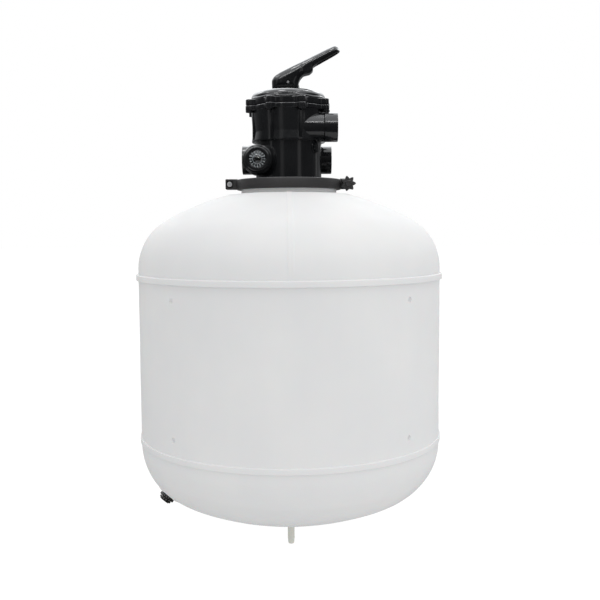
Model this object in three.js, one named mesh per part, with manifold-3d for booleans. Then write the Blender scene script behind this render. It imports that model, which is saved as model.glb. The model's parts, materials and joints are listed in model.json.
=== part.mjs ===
// Top-mount sand filter tank: a blow-moulded tank with a ring clamp, a multiport valve with a lever
// handle, the pipework inside the tank and a drain plug.
// Millimetres, +Z up. The tank's axis is the Z axis and the tip of its locating peg is the origin.
// The clamp knob and the sight glass face -Y, and the valve's lever points along +X.

import * as THREE from 'three';
import { mergeVertices } from 'three/addons/utils/BufferGeometryUtils.js';
import Module from 'manifold-3d';

const wasm = await Module();
wasm.setup();

// ---------------------------------------------------------------- driving dimensions

const GAP = 0.3; // clearance between pieces that touch on the real object

const TANK = {
  radius: 305,
  wall: 6,
  peg: { radius: 7.5, tipChamfer: 3 },
  bottom: { crown: 580, knuckle: 118, knuckleR: 187, knuckleZ: 230 },
  top: { crown: 500, knuckle: 112, knuckleR: 193, knuckleZ: 582 },
  lowerRib: { z: 242, height: 11, proud: 2.5 },
  upperRib: { z: 567, height: 10.7, proud: 4.5 },
  neckR: 96,
  neckBore: 77,
  flangeR: 102,
  flangeLow: 743,
  flangeTop: 749.5,
  sealSeatR: 84,
  sealSeatDepth: 6,
};

const DRAIN = {
  azimuth: 208, elevation: -46, bore: 12.3, padR: 19, padProud: 0.8, padDepth: 11,
  flangeR: 15.5, flangeHeight: 4, spigotR: 7.4, spigotHeight: 4.5, passage: 4.5, capR: 11.3, shankEnd: -24,
};

const PIPE = { radius: 24, wall: 3, low: 148, top: 828 };
const HUB = { radius: 38, low: 118, high: 162, lateralZ: 141, socket: 8.4 };
const LATERAL = { count: 8, radius: 11, wall: 2, start: 38.3, end: 205, spigot: 8, slots: 3 };
const DIFFUSER = { radius: 60, low: 692, windows: 8 };

const CLAMP = {
  outerR: 105.5, low: 740, top: 760.5, lipLowR: 97, lipTopR: 92, grooveR: 102.6,
  lugX: 128, lugDepth: 15, lugLow: 741.5, lugTop: 762, split: 0.7, boltX: 119.8, boltZ: 751.5,
  boltHole: 3.4, rodHole: 4.3, headRecess: 6,
};
const KNOB = { radius: 15.5, waist: 11.8, points: 7, back: -17.8, front: -28.8, hubR: 6.5, hubFront: -31 };

const BODY = {
  skirtR: 74, skirtBore: 68, skirtLow: 735,
  flangeLow: 750, flangeTop: 758, flangeR: 102,
  lowerR: 66.3, lowerBore: 61.5,
  seatLow: 835, seatTop: 841, seatR: 74,
  waistR: 72, waistZ: 848, upperR: 75, upperBore: 69,
  collarLow: 896, collarTop: 905.5, collarR: 76,
  tubeR: 29, tubeBore: 24.4,
};
const CHAMBER = { floor: 768, half: 55, web: 4 };
const PORT = { radius: 29, neckR: 27, bore: 23 };
const PORT_UPPER = { y: -39, z: 861.5, end: 98, collar: 72, depth: 50 };
const PORT_RETURN = { y: 38, z: 803.5, end: 88, depth: 36 };
const PORT_WASTE = { y: -22, z: 799, end: 92, depth: 38 };
const SIGHT = { x: -60, z: 797, bossR: 30, stepR: 27, stepY: -62, faceY: -72, bore: 15 };
const PLUG = { azimuth: -36, z: 822, radius: 9.5, shankR: 6.1, bossR: 12 };

const COVER = {
  low: 905.8, rim: 918, outerR: 76, shoulder: 16, top: 937, wall: 4.5, crownR: 26,
  stemBore: 8.6, glandR: 11.2, glandLow: 922.5, glandTop: 927,
};
const SCREW = {
  count: 8, first: -115.5, circle: 82, bodyLug: 7.5, coverLug: 7, hole: 3.3, shank: 3,
  tip: 893, nutLow: 894, nutTop: 898.7, headSeat: 913.5, headR: 5.2, headHeight: 4,
};

const STEM = { radius: 8, top: 963.5, pinZ: 953.5, pinR: 3 };
const ROTOR = { low: 843.5, high: 854, radius: 67.5, rise: 14, hubR: 15, hubTop: 880 };
const SPRING = { top: 915.2, coil: 12.6, wire: 1.6, turns: 4.5 };
const HANDLE = { hubHalf: 22, gripHalf: 17, low: 939, slotHalf: 9 };

const ROUND = { tank: 36, valve: 32, port: 20, small: 12, tiny: 8 };

const MATERIALS = {
  tank: { color: 0xeceeec, roughness: 0.55, metalness: 0 },
  valve: { color: 0x141517, roughness: 0.25, metalness: 0 },
  clamp: { color: 0x2d2c2b, roughness: 0.5, metalness: 0 },
  drain: { color: 0x161616, roughness: 0.5, metalness: 0 },
  inner: { color: 0xd9d8d0, roughness: 0.55, metalness: 0 },
  nylon: { color: 0xe8ebe4, roughness: 0.4, metalness: 0 },
  steel: { color: 0xc9cacc, roughness: 0.3, metalness: 1 },
  rubber: { color: 0x1b1b1b, roughness: 0.8, metalness: 0 },
  clear: { color: 0xdfe6ea, roughness: 0.08, metalness: 0 },
};

// ---------------------------------------------------------------- geometry helpers

const rad = THREE.MathUtils.degToRad;

// One closed mesh with shared corners, no zero-area faces, and its faces pointing out.
function tidy(geometry) {
  geometry.deleteAttribute('normal');
  geometry.deleteAttribute('uv');
  const merged = mergeVertices(geometry, 1e-4);
  const p = merged.getAttribute('position');
  const corner = [new THREE.Vector3(), new THREE.Vector3(), new THREE.Vector3()];
  const kept = [];
  let volume = 0;
  for (let i = 0; i < merged.index.count; i += 3) {
    const t = [0, 1, 2].map((k) => merged.index.getX(i + k));
    if (t[0] === t[1] || t[1] === t[2] || t[2] === t[0]) continue;
    t.forEach((v, k) => corner[k].fromBufferAttribute(p, v));
    volume += corner[0].dot(corner[1].cross(corner[2]));
    kept.push(t);
  }
  merged.setIndex(kept.flatMap((t) => (volume < 0 ? [t[0], t[2], t[1]] : t)));
  return merged;
}

function toSolid(geometry) {
  const shape = tidy(geometry.clone());
  const vertProperties = new Float32Array(shape.getAttribute('position').array);
  const triVerts = new Uint32Array(shape.index.array);
  return new wasm.Manifold(new wasm.Mesh({ numProp: 3, vertProperties, triVerts }));
}

function toGeometry(solid) {
  const mesh = solid.getMesh();
  const geometry = new THREE.BufferGeometry();
  geometry.setAttribute('position', new THREE.BufferAttribute(new Float32Array(mesh.vertProperties), 3));
  geometry.setIndex(Array.from(mesh.triVerts));
  return geometry;
}

function join(...parts) {
  return toGeometry(parts.map(toSolid).reduce((sum, part) => sum.add(part)));
}

function cut(part, ...tools) {
  return toGeometry(tools.map(toSolid).reduce((rest, tool) => rest.subtract(tool), toSolid(part)));
}

function common(a, b) {
  return toGeometry(toSolid(a).intersect(toSolid(b)));
}

// A profile of [radius, z] pairs turned about the Z axis.
function turned(profile, segments = ROUND.valve) {
  const points = profile.map(([r, z]) => new THREE.Vector2(r, z));
  return tidy(new THREE.LatheGeometry(points, segments).rotateX(Math.PI / 2));
}

function ring(innerR, outerR, low, high, segments = ROUND.valve) {
  return turned([[innerR, low], [outerR, low], [outerR, high], [innerR, high], [innerR, low]], segments);
}

function disc(radius, low, high, segments = ROUND.valve) {
  return turned([[0, low], [radius, low], [radius, high], [0, high]], segments);
}

function torus(centreR, tubeR, z, segments = ROUND.valve) {
  return tidy(new THREE.TorusGeometry(centreR, tubeR, 5, segments).translate(0, 0, z));
}

function box(x0, x1, y0, y1, z0, z1) {
  const block = new THREE.BoxGeometry(x1 - x0, y1 - y0, z1 - z0);
  return tidy(block.translate((x0 + x1) / 2, (y0 + y1) / 2, (z0 + z1) / 2));
}

function arc(centreR, centreZ, radius, fromDeg, toDeg, steps) {
  return Array.from({ length: steps + 1 }, (_, i) => {
    const a = rad(fromDeg + ((toDeg - fromDeg) * i) / steps);
    return [centreR + radius * Math.cos(a), centreZ + radius * Math.sin(a)];
  });
}

// An outline of [x, y] pairs raised from z = low to z = high.
function prism(outline, low, high) {
  const shape = new THREE.Shape(outline.map(([x, y]) => new THREE.Vector2(x, y)));
  const solid = new THREE.ExtrudeGeometry(shape, { depth: high - low, bevelEnabled: false });
  return tidy(solid.translate(0, 0, low));
}

function hexagon(acrossFlats) {
  const corner = acrossFlats / 2 / Math.cos(rad(30));
  return arc(0, 0, corner, 0, 300, 5);
}

// A slice of a ring between two azimuths in degrees.
function sector(innerR, outerR, from, to, low, high) {
  const steps = Math.max(2, Math.ceil((to - from) / 10));
  const inner = arc(0, 0, innerR, to, from, steps);
  const outer = arc(0, 0, outerR, from, to, steps);
  return prism([...outer, ...inner], low, high);
}

function wavy(peakR, valleyR, count) {
  const steps = count * 4;
  return Array.from({ length: steps }, (_, i) => {
    const lift = [1, 0.5, 0, 0.5][i % 4];
    const r = valleyR + (peakR - valleyR) * lift;
    const a = (2 * Math.PI * i) / steps;
    return [r * Math.cos(a), r * Math.sin(a)];
  });
}

// Moves a piece built along +Z so that it runs along a direction from a point.
function aim(geometry, direction, point = new THREE.Vector3()) {
  const turn = new THREE.Quaternion().setFromUnitVectors(new THREE.Vector3(0, 0, 1), direction);
  return geometry.applyQuaternion(turn).translate(point.x, point.y, point.z);
}

function alongX(geometry, y, z) {
  return aim(geometry, new THREE.Vector3(1, 0, 0), new THREE.Vector3(0, y, z));
}

// Built along +Z, so that +Z ends up facing the front (-Y): low and high are distances forward.
function facingFront(geometry, x, z) {
  return aim(geometry, new THREE.Vector3(0, -1, 0), new THREE.Vector3(x, 0, z));
}

function spunTo(geometry, azimuth) {
  return geometry.rotateZ(rad(azimuth));
}

const model = new THREE.Group();

function addPart(name, geometry, material) {
  const mesh = new THREE.Mesh(geometry, new THREE.MeshStandardMaterial(MATERIALS[material]));
  mesh.name = name;
  model.add(mesh);
}

// ---------------------------------------------------------------- tank

const bottomCrownZ = TANK.bottom.knuckleZ
  + Math.sqrt((TANK.bottom.crown - TANK.bottom.knuckle) ** 2 - TANK.bottom.knuckleR ** 2);
const topCrownZ = TANK.top.knuckleZ
  - Math.sqrt((TANK.top.crown - TANK.top.knuckle) ** 2 - TANK.top.knuckleR ** 2);
const bottomJoin = THREE.MathUtils.radToDeg(
  Math.atan2(TANK.bottom.knuckleZ - bottomCrownZ, TANK.bottom.knuckleR));
const topJoin = THREE.MathUtils.radToDeg(Math.atan2(TANK.top.knuckleZ - topCrownZ, TANK.top.knuckleR));

// The angle at which a crown reaches a given radius, in degrees from the horizontal.
function crownAngle(crown, radius) {
  return THREE.MathUtils.radToDeg(Math.acos(radius / crown));
}

function ribProfile(rib) {
  const half = rib.height / 2;
  return [
    [TANK.radius, rib.z - half],
    [TANK.radius + rib.proud, rib.z - half * 0.5],
    [TANK.radius + rib.proud, rib.z + half * 0.5],
    [TANK.radius, rib.z + half],
  ];
}

function tankShell() {
  const { bottom, top, wall, peg } = TANK;
  const pegAngle = -crownAngle(bottom.crown, peg.radius);
  const neckAngle = crownAngle(top.crown, TANK.neckR + 3);
  const boreAngle = crownAngle(top.crown - wall, TANK.neckBore);
  const outside = [
    [0, 0],
    [peg.radius - peg.tipChamfer, 0],
    [peg.radius, peg.tipChamfer],
    ...arc(0, bottomCrownZ, bottom.crown, pegAngle, bottomJoin, 4),
    ...arc(bottom.knuckleR, bottom.knuckleZ, bottom.knuckle, bottomJoin, 0, 4).slice(1),
    ...ribProfile(TANK.lowerRib),
    ...ribProfile(TANK.upperRib),
    ...arc(top.knuckleR, top.knuckleZ, top.knuckle, 0, topJoin, 4),
    ...arc(0, topCrownZ, top.crown, topJoin, neckAngle, 3).slice(1),
    [TANK.neckR, TANK.flangeLow - 5],
    [TANK.neckR, TANK.flangeLow],
    [TANK.flangeR, TANK.flangeLow],
    [TANK.flangeR, TANK.flangeTop],
  ];
  const seatZ = TANK.flangeTop - TANK.sealSeatDepth;
  const inside = [
    [TANK.sealSeatR, TANK.flangeTop],
    [TANK.sealSeatR, seatZ],
    [TANK.neckBore, seatZ],
    ...arc(0, topCrownZ, top.crown - wall, boreAngle, topJoin, 2),
    ...arc(top.knuckleR, top.knuckleZ, top.knuckle - wall, topJoin, 0, 3).slice(1),
    ...arc(bottom.knuckleR, bottom.knuckleZ, bottom.knuckle - wall, 0, bottomJoin, 3),
    ...arc(0, bottomCrownZ, bottom.crown - wall, bottomJoin, -90, 2).slice(1),
  ];
  const shell = turned([...outside, ...inside], ROUND.tank);
  const pad = atDrain(disc(DRAIN.padR, -DRAIN.padDepth, DRAIN.padProud, ROUND.port));
  const bore = atDrain(disc(DRAIN.bore, -DRAIN.padDepth - 6, DRAIN.padProud + 4, ROUND.port));
  return cut(join(shell, pad), bore);
}

// ---------------------------------------------------------------- drain

// Built along +Z with the tank's outer surface at z = 0, then set on the lower shoulder.
function atDrain(geometry) {
  const { bottom } = TANK;
  const out = rad(DRAIN.elevation);
  const r = bottom.knuckleR + bottom.knuckle * Math.cos(out);
  const z = bottom.knuckleZ + bottom.knuckle * Math.sin(out);
  const a = rad(DRAIN.azimuth);
  const direction = new THREE.Vector3(
    Math.cos(out) * Math.cos(a), Math.cos(out) * Math.sin(a), Math.sin(out));
  return aim(geometry, direction, new THREE.Vector3(r * Math.cos(a), r * Math.sin(a), z));
}

const DRAIN_GASKET = [DRAIN.padProud + GAP, DRAIN.padProud + GAP + 1.2];
const DRAIN_FLANGE = [DRAIN_GASKET[1] + GAP, DRAIN_GASKET[1] + GAP + DRAIN.flangeHeight];
const SPIGOT_END = DRAIN_FLANGE[1] + DRAIN.spigotHeight;
const SEAL_THICKNESS = 1;

function drainFitting() {
  const { bore, flangeR, spigotR, passage, shankEnd } = DRAIN;
  const shankR = bore - 0.4;
  const flange = prism(wavy(flangeR, flangeR - 0.9, 16), ...DRAIN_FLANGE);
  const core = disc(shankR, shankEnd, DRAIN_FLANGE[0] + 1, ROUND.port);
  const spigot = disc(spigotR, DRAIN_FLANGE[1] - 1, SPIGOT_END, ROUND.small);
  return atDrain(cut(join(core, flange, spigot), disc(passage, shankEnd - 2, SPIGOT_END + 2, ROUND.small)));
}

function drainNut() {
  const nut = cut(prism(hexagon(34), -17, -DRAIN.padDepth - GAP), disc(12.3, -20, 0, ROUND.port));
  return atDrain(nut);
}

function drainScreen() {
  const cup = turned([
    [0, -54], [11.5, -54], [11.5, DRAIN.shankEnd - GAP], [9.5, DRAIN.shankEnd - GAP], [9.5, -52], [0, -52],
  ], ROUND.port);
  const slot = box(-1.2, 1.2, -20, 20, -48, -30);
  const slots = [0, 60, 120].map((turn) => slot.clone().rotateZ(rad(turn)));
  return atDrain(cut(cup, ...slots));
}

function drainCapSeal() {
  const { passage, spigotR } = DRAIN;
  const low = SPIGOT_END + GAP;
  return atDrain(ring(passage + 0.5, spigotR - 0.2, low, low + SEAL_THICKNESS, ROUND.small));
}

function drainCap() {
  const low = DRAIN_FLANGE[1] + GAP;
  const roof = SPIGOT_END + 2 * GAP + SEAL_THICKNESS;
  const outer = prism(wavy(DRAIN.capR, DRAIN.capR - 0.9, 12), low, roof + 2);
  return atDrain(cut(outer, disc(DRAIN.spigotR + 0.7, low - 1, roof, ROUND.small)));
}

// ---------------------------------------------------------------- pipework inside the tank

function standpipe() {
  return ring(PIPE.radius - PIPE.wall, PIPE.radius, PIPE.low, PIPE.top, ROUND.port);
}

function lateralHub() {
  const block = disc(HUB.radius, HUB.low, HUB.high, LATERAL.count * 4);
  const socket = disc(PIPE.radius + GAP, PIPE.low - GAP, HUB.high + 1, ROUND.port);
  const well = disc(16, HUB.lateralZ - 6, PIPE.low, ROUND.port);
  const drillings = laterals((azimuth) => lateralTool(HUB.socket, 0, HUB.radius + 4, azimuth));
  return cut(block, socket, well, ...drillings);
}

function laterals(make) {
  return Array.from({ length: LATERAL.count }, (_, i) => make((360 / LATERAL.count) * i));
}

function lateralTool(radius, from, to, azimuth) {
  return spunTo(alongX(disc(radius, from, to, 8), 0, HUB.lateralZ), azimuth);
}

function lateral(azimuth) {
  const { start, end, radius, wall, spigot } = LATERAL;
  const tube = turned([
    [0, end], [radius, end], [radius, start], [spigot, start], [spigot, start - 14],
    [spigot - wall, start - 14], [spigot - wall, end - 3], [0, end - 3],
  ], 8);
  const pitch = (end - start - 40) / (LATERAL.slots - 1);
  const slots = Array.from({ length: LATERAL.slots }, (_, i) => {
    const x = start + 20 + pitch * i;
    return box(x - 1, x + 1, -8, 8, HUB.lateralZ - radius - 1, HUB.lateralZ - spigot + wall + 2);
  });
  return spunTo(cut(alongX(tube, 0, HUB.lateralZ), ...slots), azimuth);
}

function diffuser() {
  const top = BODY.skirtLow - GAP;
  const { radius, low } = DIFFUSER;
  const bore = PIPE.radius + 0.6;
  const cup = turned([
    [bore, low], [radius, low], [radius, top - 4], [72, top - 4], [72, top], [radius - 3, top],
    [radius - 3, low + 3], [bore, low + 3], [bore, low],
  ]);
  const windows = Array.from({ length: DIFFUSER.windows }, (_, i) => (
    spunTo(box(40, 70, -6, 6, low + 8, top - 10), (360 / DIFFUSER.windows) * i)));
  return cut(cup, ...windows);
}

// ---------------------------------------------------------------- clamp

function clampRing() {
  const { outerR, low, top, lipLowR, lipTopR, grooveR } = CLAMP;
  return turned([
    [lipLowR, low], [outerR - 1.5, low], [outerR, low + 1.5], [outerR, top - 1.5], [outerR - 1.5, top],
    [lipTopR, top], [lipTopR, BODY.flangeTop + GAP], [grooveR, BODY.flangeTop + GAP],
    [grooveR, TANK.flangeLow - GAP], [lipLowR, TANK.flangeLow - GAP], [lipLowR, low],
  ], ROUND.tank);
}

// side is -1 for the front half and 1 for the rear half.
function clampHalf(side) {
  const { split, lugX, lugDepth, lugLow, lugTop, boltX, boltZ, boltHole, rodHole, headRecess } = CLAMP;
  const near = side * split;
  const far = side * lugDepth;
  const reach = side * 150;
  const [y0, y1] = [Math.min(near, reach), Math.max(near, reach)];
  const half = common(clampRing(), box(-150, 150, y0, y1, CLAMP.low - 5, lugTop + 5));
  const [l0, l1] = [Math.min(near, far), Math.max(near, far)];
  const innerX = CLAMP.grooveR;
  const lugs = [
    box(innerX, lugX, l0, l1, lugLow, lugTop),
    box(-lugX, -innerX, l0, l1, lugLow, lugTop),
  ];
  const holes = [
    facingFront(disc(boltHole, -40, 40, ROUND.small), -boltX, boltZ),
    facingFront(disc(rodHole, -40, 40, ROUND.small), boltX, boltZ),
  ];
  const recess = facingFront(disc(7, lugDepth - headRecess, lugDepth + 5, ROUND.small), -boltX, boltZ);
  return cut(join(half, ...lugs), ...holes, ...(side < 0 ? [recess] : []));
}

function clampBoltLeft() {
  const head = CLAMP.lugDepth - CLAMP.headRecess + GAP;
  const bolt = turned([
    [0, -24], [3, -24], [3, head], [4.8, head], [4.8, head + 5], [0, head + 5],
  ], ROUND.small);
  const socket = prism(hexagon(5), head + 2, head + 8);
  return facingFront(cut(bolt, socket), -CLAMP.boltX, CLAMP.boltZ);
}

function clampNutLeft() {
  const nut = cut(prism(hexagon(10), -20.5, -CLAMP.lugDepth - GAP), disc(3.3, -30, 0, ROUND.small));
  return facingFront(nut, -CLAMP.boltX, CLAMP.boltZ);
}

function clampBoltRight() {
  const back = -CLAMP.lugDepth - GAP;
  const bolt = turned([
    [0, back - 5], [7.5, back - 5], [7.5, back], [3.9, back], [3.9, 29.5], [0, 29.5],
  ], ROUND.small);
  return facingFront(bolt, CLAMP.boltX, CLAMP.boltZ);
}

function knobWasher() {
  const washer = ring(CLAMP.rodHole, 10, CLAMP.lugDepth + GAP, -KNOB.back - GAP, ROUND.small);
  return facingFront(washer, CLAMP.boltX, CLAMP.boltZ);
}

function clampKnob() {
  const star = prism(wavy(KNOB.radius, KNOB.waist, KNOB.points), -KNOB.back, -KNOB.front);
  const hub = disc(KNOB.hubR, -KNOB.front - 2, -KNOB.hubFront, ROUND.small);
  const bore = disc(CLAMP.rodHole, -KNOB.back - 1, -KNOB.hubFront + 1, ROUND.small);
  return facingFront(cut(join(star, hub), bore), CLAMP.boltX, CLAMP.boltZ);
}

// ---------------------------------------------------------------- valve body

function screwAngles() {
  return Array.from({ length: SCREW.count }, (_, i) => SCREW.first + (360 / SCREW.count) * i);
}

function lug(radius, innerR, low, high, azimuth) {
  const eye = disc(radius, low, high, ROUND.tiny).translate(SCREW.circle, 0, 0);
  const web = box(innerR, SCREW.circle, -radius, radius, low, high);
  return [eye, web].map((part) => spunTo(part, azimuth));
}

function atScrew(geometry, azimuth) {
  return spunTo(geometry.translate(SCREW.circle, 0, 0), azimuth);
}

function bodyShellOutside() {
  const b = BODY;
  return turned([
    [0, b.skirtLow], [b.skirtR, b.skirtLow], [b.skirtR, b.flangeLow], [b.flangeR, b.flangeLow],
    [b.flangeR, b.flangeTop], [b.lowerR, b.flangeTop], [b.lowerR, b.seatLow], [b.seatR, b.seatLow],
    [b.seatR, b.seatTop + 2], [b.waistR, b.waistZ], [b.upperR, b.collarLow], [b.collarR, b.collarLow],
    [b.collarR, b.collarTop], [0, b.collarTop],
  ]);
}

function bodyPorts() {
  const { radius, neckR } = PORT;
  const root = 30;
  const upper = alongX(turned([
    [0, root], [neckR, root], [neckR, PORT_UPPER.collar], [radius, PORT_UPPER.collar],
    [radius, PORT_UPPER.end], [0, PORT_UPPER.end],
  ], ROUND.port), PORT_UPPER.y, PORT_UPPER.z);
  const back = alongX(disc(radius, root, PORT_RETURN.end, ROUND.port), PORT_RETURN.y, PORT_RETURN.z);
  const waste = alongX(disc(radius, -PORT_WASTE.end, -root, ROUND.port), PORT_WASTE.y, PORT_WASTE.z);
  return [upper, back, waste];
}

function bodyPortBores() {
  const { bore } = PORT;
  return [
    alongX(disc(bore, PORT_UPPER.depth, PORT_UPPER.end + 5, ROUND.port), PORT_UPPER.y, PORT_UPPER.z),
    alongX(disc(bore, PORT_RETURN.depth, PORT_RETURN.end + 5, ROUND.port), PORT_RETURN.y, PORT_RETURN.z),
    alongX(disc(bore, -PORT_WASTE.end - 5, -PORT_WASTE.depth, ROUND.port), PORT_WASTE.y, PORT_WASTE.z),
  ];
}

function sightBoss() {
  const boss = turned([
    [0, 25], [SIGHT.bossR, 25], [SIGHT.bossR, -SIGHT.stepY], [SIGHT.stepR, -SIGHT.stepY],
    [SIGHT.stepR, -SIGHT.faceY], [0, -SIGHT.faceY],
  ], ROUND.port);
  return facingFront(boss, SIGHT.x, SIGHT.z);
}

function plugBoss(radius, low, high) {
  return spunTo(alongX(disc(radius, low, high, ROUND.small), 0, PLUG.z), PLUG.azimuth);
}

// The hollows under the seat plate: two port chambers with a floor, two open to the tank, and the
// centre tube that takes the standpipe.
function lowerHollows() {
  const { tubeR, tubeBore, lowerBore, seatLow, seatTop, skirtLow, skirtBore } = BODY;
  const under = ring(tubeR, skirtBore, skirtLow - 5, BODY.flangeLow + 2);
  const centre = disc(tubeBore, skirtLow - 5, PIPE.top + GAP, ROUND.port);
  const eye = disc(18, PIPE.top, seatTop + 1, ROUND.port);
  const closed = [0, 180].map((middle) => (
    sector(tubeR, lowerBore, middle - CHAMBER.half, middle + CHAMBER.half, CHAMBER.floor, seatLow)));
  const open = [90, 270].map((middle) => {
    const half = 90 - CHAMBER.half - CHAMBER.web;
    return sector(tubeR, lowerBore, middle - half, middle + half, BODY.flangeLow, seatLow);
  });
  const windows = [0, 75, 105, 180, 255, 285].map((middle) => (
    sector(32, 56, middle - 11, middle + 11, seatLow - 1, seatTop + 1)));
  return [under, centre, eye, ...closed, ...open, ...windows];
}

function valveBody() {
  const b = BODY;
  const lugs = screwAngles().flatMap((a) => (
    lug(SCREW.bodyLug, b.upperBore + 1, b.collarLow, b.collarTop, a)));
  const ribs = screwAngles().map((a) => (
    spunTo(box(b.upperBore + 1, b.collarR - 0.6, -3, 3, b.seatLow + 4, b.collarLow + 1), a)));
  const outside = join(
    bodyShellOutside(), ...lugs, ...ribs, ...bodyPorts(), sightBoss(),
    plugBoss(PLUG.bossR, b.lowerBore - 4, b.lowerR + 1.5));
  const chamber = disc(b.upperBore, b.seatTop, b.collarTop + 2);
  const groove = ring(71.2, 74.7, b.collarTop - 2.3, b.collarTop + 2);
  const screwHoles = screwAngles().map((a) => (
    atScrew(disc(SCREW.hole, b.collarLow - 5, b.collarTop + 5, ROUND.tiny), a)));
  const nutPockets = screwAngles().map((a) => (
    atScrew(prism(hexagon(10.6), b.collarLow - 1, b.collarLow + 3), a)));
  const window = facingFront(disc(SIGHT.bore, 30, -SIGHT.faceY + 3, ROUND.port), SIGHT.x, SIGHT.z);
  return cut(outside, chamber, groove, ...lowerHollows(), ...bodyPortBores(), window,
    plugBoss(PLUG.shankR + GAP, b.lowerBore - 20, b.lowerR + 20), ...screwHoles, ...nutPockets);
}

function gaugePlug() {
  const seat = BODY.lowerR + 1.5 + GAP;
  const plug = turned([
    [0, BODY.lowerBore - 1.5], [PLUG.shankR, BODY.lowerBore - 1.5], [PLUG.shankR, seat],
    [PLUG.radius, seat], [PLUG.radius, seat + 3.5], [0, seat + 3.5],
  ], ROUND.small);
  const slot = box(seat + 2, seat + 5, -1, 1, -6, 6);
  const aimed = cut(alongX(plug, 0, 0), slot);
  return spunTo(aimed.translate(0, 0, PLUG.z), PLUG.azimuth);
}

// ---------------------------------------------------------------- sight glass

const GLASS_BACK = -SIGHT.faceY + 1.2 + 2 * GAP;
const GLASS_RIM = GLASS_BACK + 4;

function sightGasket() {
  return facingFront(ring(15.5, 20, -SIGHT.faceY + GAP, GLASS_BACK - GAP, ROUND.port), SIGHT.x, SIGHT.z);
}

function sightGlass() {
  const glass = turned([
    [0, GLASS_BACK], [20, GLASS_BACK], [20, GLASS_RIM], [16.2, GLASS_RIM], [15, GLASS_RIM + 2],
    [8, GLASS_RIM + 3.4], [0, GLASS_RIM + 3.8],
  ], ROUND.port);
  return facingFront(glass, SIGHT.x, SIGHT.z);
}

function sightBezel() {
  const back = -SIGHT.faceY + GAP;
  const bezel = turned([
    [20.4, back], [24.5, back], [24.5, GLASS_RIM + 1], [23, GLASS_RIM + 2.5], [17, GLASS_RIM + 2.5],
    [16.6, GLASS_RIM + GAP], [20.4, GLASS_RIM + GAP], [20.4, back],
  ], ROUND.port);
  return facingFront(bezel, SIGHT.x, SIGHT.z);
}

// ---------------------------------------------------------------- valve cover and its fasteners

function coverShell() {
  const { low, rim, outerR, shoulder, top, wall, crownR, stemBore, glandR, glandLow, glandTop } = COVER;
  const centreR = outerR - 0.5 - shoulder;
  const roof = rim + shoulder - wall;
  return turned([
    [stemBore, rim], [13, rim], [14, roof], ...arc(centreR, rim, shoulder - wall, 90, 0, 3),
    [BODY.upperBore, rim], [BODY.upperBore, low], [outerR, low], [outerR, rim],
    ...arc(centreR, rim, shoulder, 0, 90, 6), [crownR, top], [stemBore, top], [stemBore, glandTop],
    [glandR, glandTop], [glandR, glandLow], [stemBore, glandLow], [stemBore, rim],
  ]);
}

function valveCover() {
  const { coverLug, hole, headR, headSeat } = SCREW;
  const lugs = screwAngles().flatMap((a) => lug(coverLug, BODY.upperBore + 2, COVER.low, COVER.rim, a));
  const holes = screwAngles().map((a) => atScrew(disc(hole, COVER.low - 5, COVER.rim + 5, ROUND.tiny), a));
  const headSeats = screwAngles().map((a) => (
    atScrew(disc(headR + 0.6, headSeat, COVER.rim + 5, ROUND.tiny), a)));
  return cut(join(coverShell(), ...lugs), ...holes, ...headSeats);
}

function coverScrew(azimuth) {
  const { shank, tip, headSeat, headR, headHeight } = SCREW;
  const head = headSeat + GAP;
  const top = head + headHeight;
  const profile = [[0, tip], [shank, tip], [shank, head], [headR, head], [headR, top], [0, top]];
  const slot = box(-4, 4, -0.7, 0.7, top - 1.6, top + 1);
  return atScrew(cut(turned(profile, ROUND.tiny), slot), azimuth);
}

function coverNut(azimuth) {
  const { shank, nutLow, nutTop } = SCREW;
  const nut = cut(prism(hexagon(10), nutLow, nutTop), disc(shank + GAP, nutLow - 5, nutTop + 5, ROUND.tiny));
  return atScrew(nut, azimuth);
}

// ---------------------------------------------------------------- rotor, stem and spring

function rotor() {
  const { low, high, radius, hubR, hubTop } = ROTOR;
  const blank = turned([
    [0, low], [radius, low], [radius, high], [hubR, high + ROTOR.rise], [hubR, hubTop],
    [STEM.radius, hubTop], [STEM.radius, STEM.top - 1], [STEM.radius - 1, STEM.top], [0, STEM.top],
  ]);
  const link = sector(30, 60, 40, 200, low - 1, low + 7);
  const passage = sector(30, 60, -30, 10, low - 1, high + ROTOR.rise + 2);
  const pinHole = facingFront(disc(STEM.pinR + GAP, -20, 20, 12), 0, STEM.pinZ);
  return cut(blank, link, passage, pinHole);
}

function spiderGasket() {
  const low = BODY.seatTop + GAP;
  const high = ROTOR.low - GAP;
  const rims = [ring(59, 67, low, high), ring(20, 28, low, high, ROUND.port)];
  const spokes = [40, 140, 220, 320].map((a) => spunTo(box(26, 61, -2, 2, low, high), a));
  return join(...rims, ...spokes);
}

function spring() {
  const { top, coil, wire, turns } = SPRING;
  const low = ROTOR.hubTop + GAP;
  const rise = top - low - 2 * wire;
  const steps = turns * 12;
  const points = Array.from({ length: steps + 1 }, (_, i) => {
    const a = (2 * Math.PI * turns * i) / steps;
    return new THREE.Vector3(coil * Math.cos(a), coil * Math.sin(a), low + wire + (rise * i) / steps);
  });
  const section = new THREE.Shape(arc(0, 0, wire, 0, 300, 5).map(([x, y]) => new THREE.Vector2(x, y)));
  const path = new THREE.CatmullRomCurve3(points);
  return tidy(new THREE.ExtrudeGeometry(section, { steps, extrudePath: path, bevelEnabled: false }));
}

function thrustWasher() {
  return ring(COVER.stemBore, 14, SPRING.top + GAP, COVER.rim - GAP, ROUND.small);
}

// ---------------------------------------------------------------- lever handle

function camWasher() {
  return ring(COVER.stemBore, HANDLE.hubHalf, COVER.top + GAP, HANDLE.low - GAP, ROUND.port);
}

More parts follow.
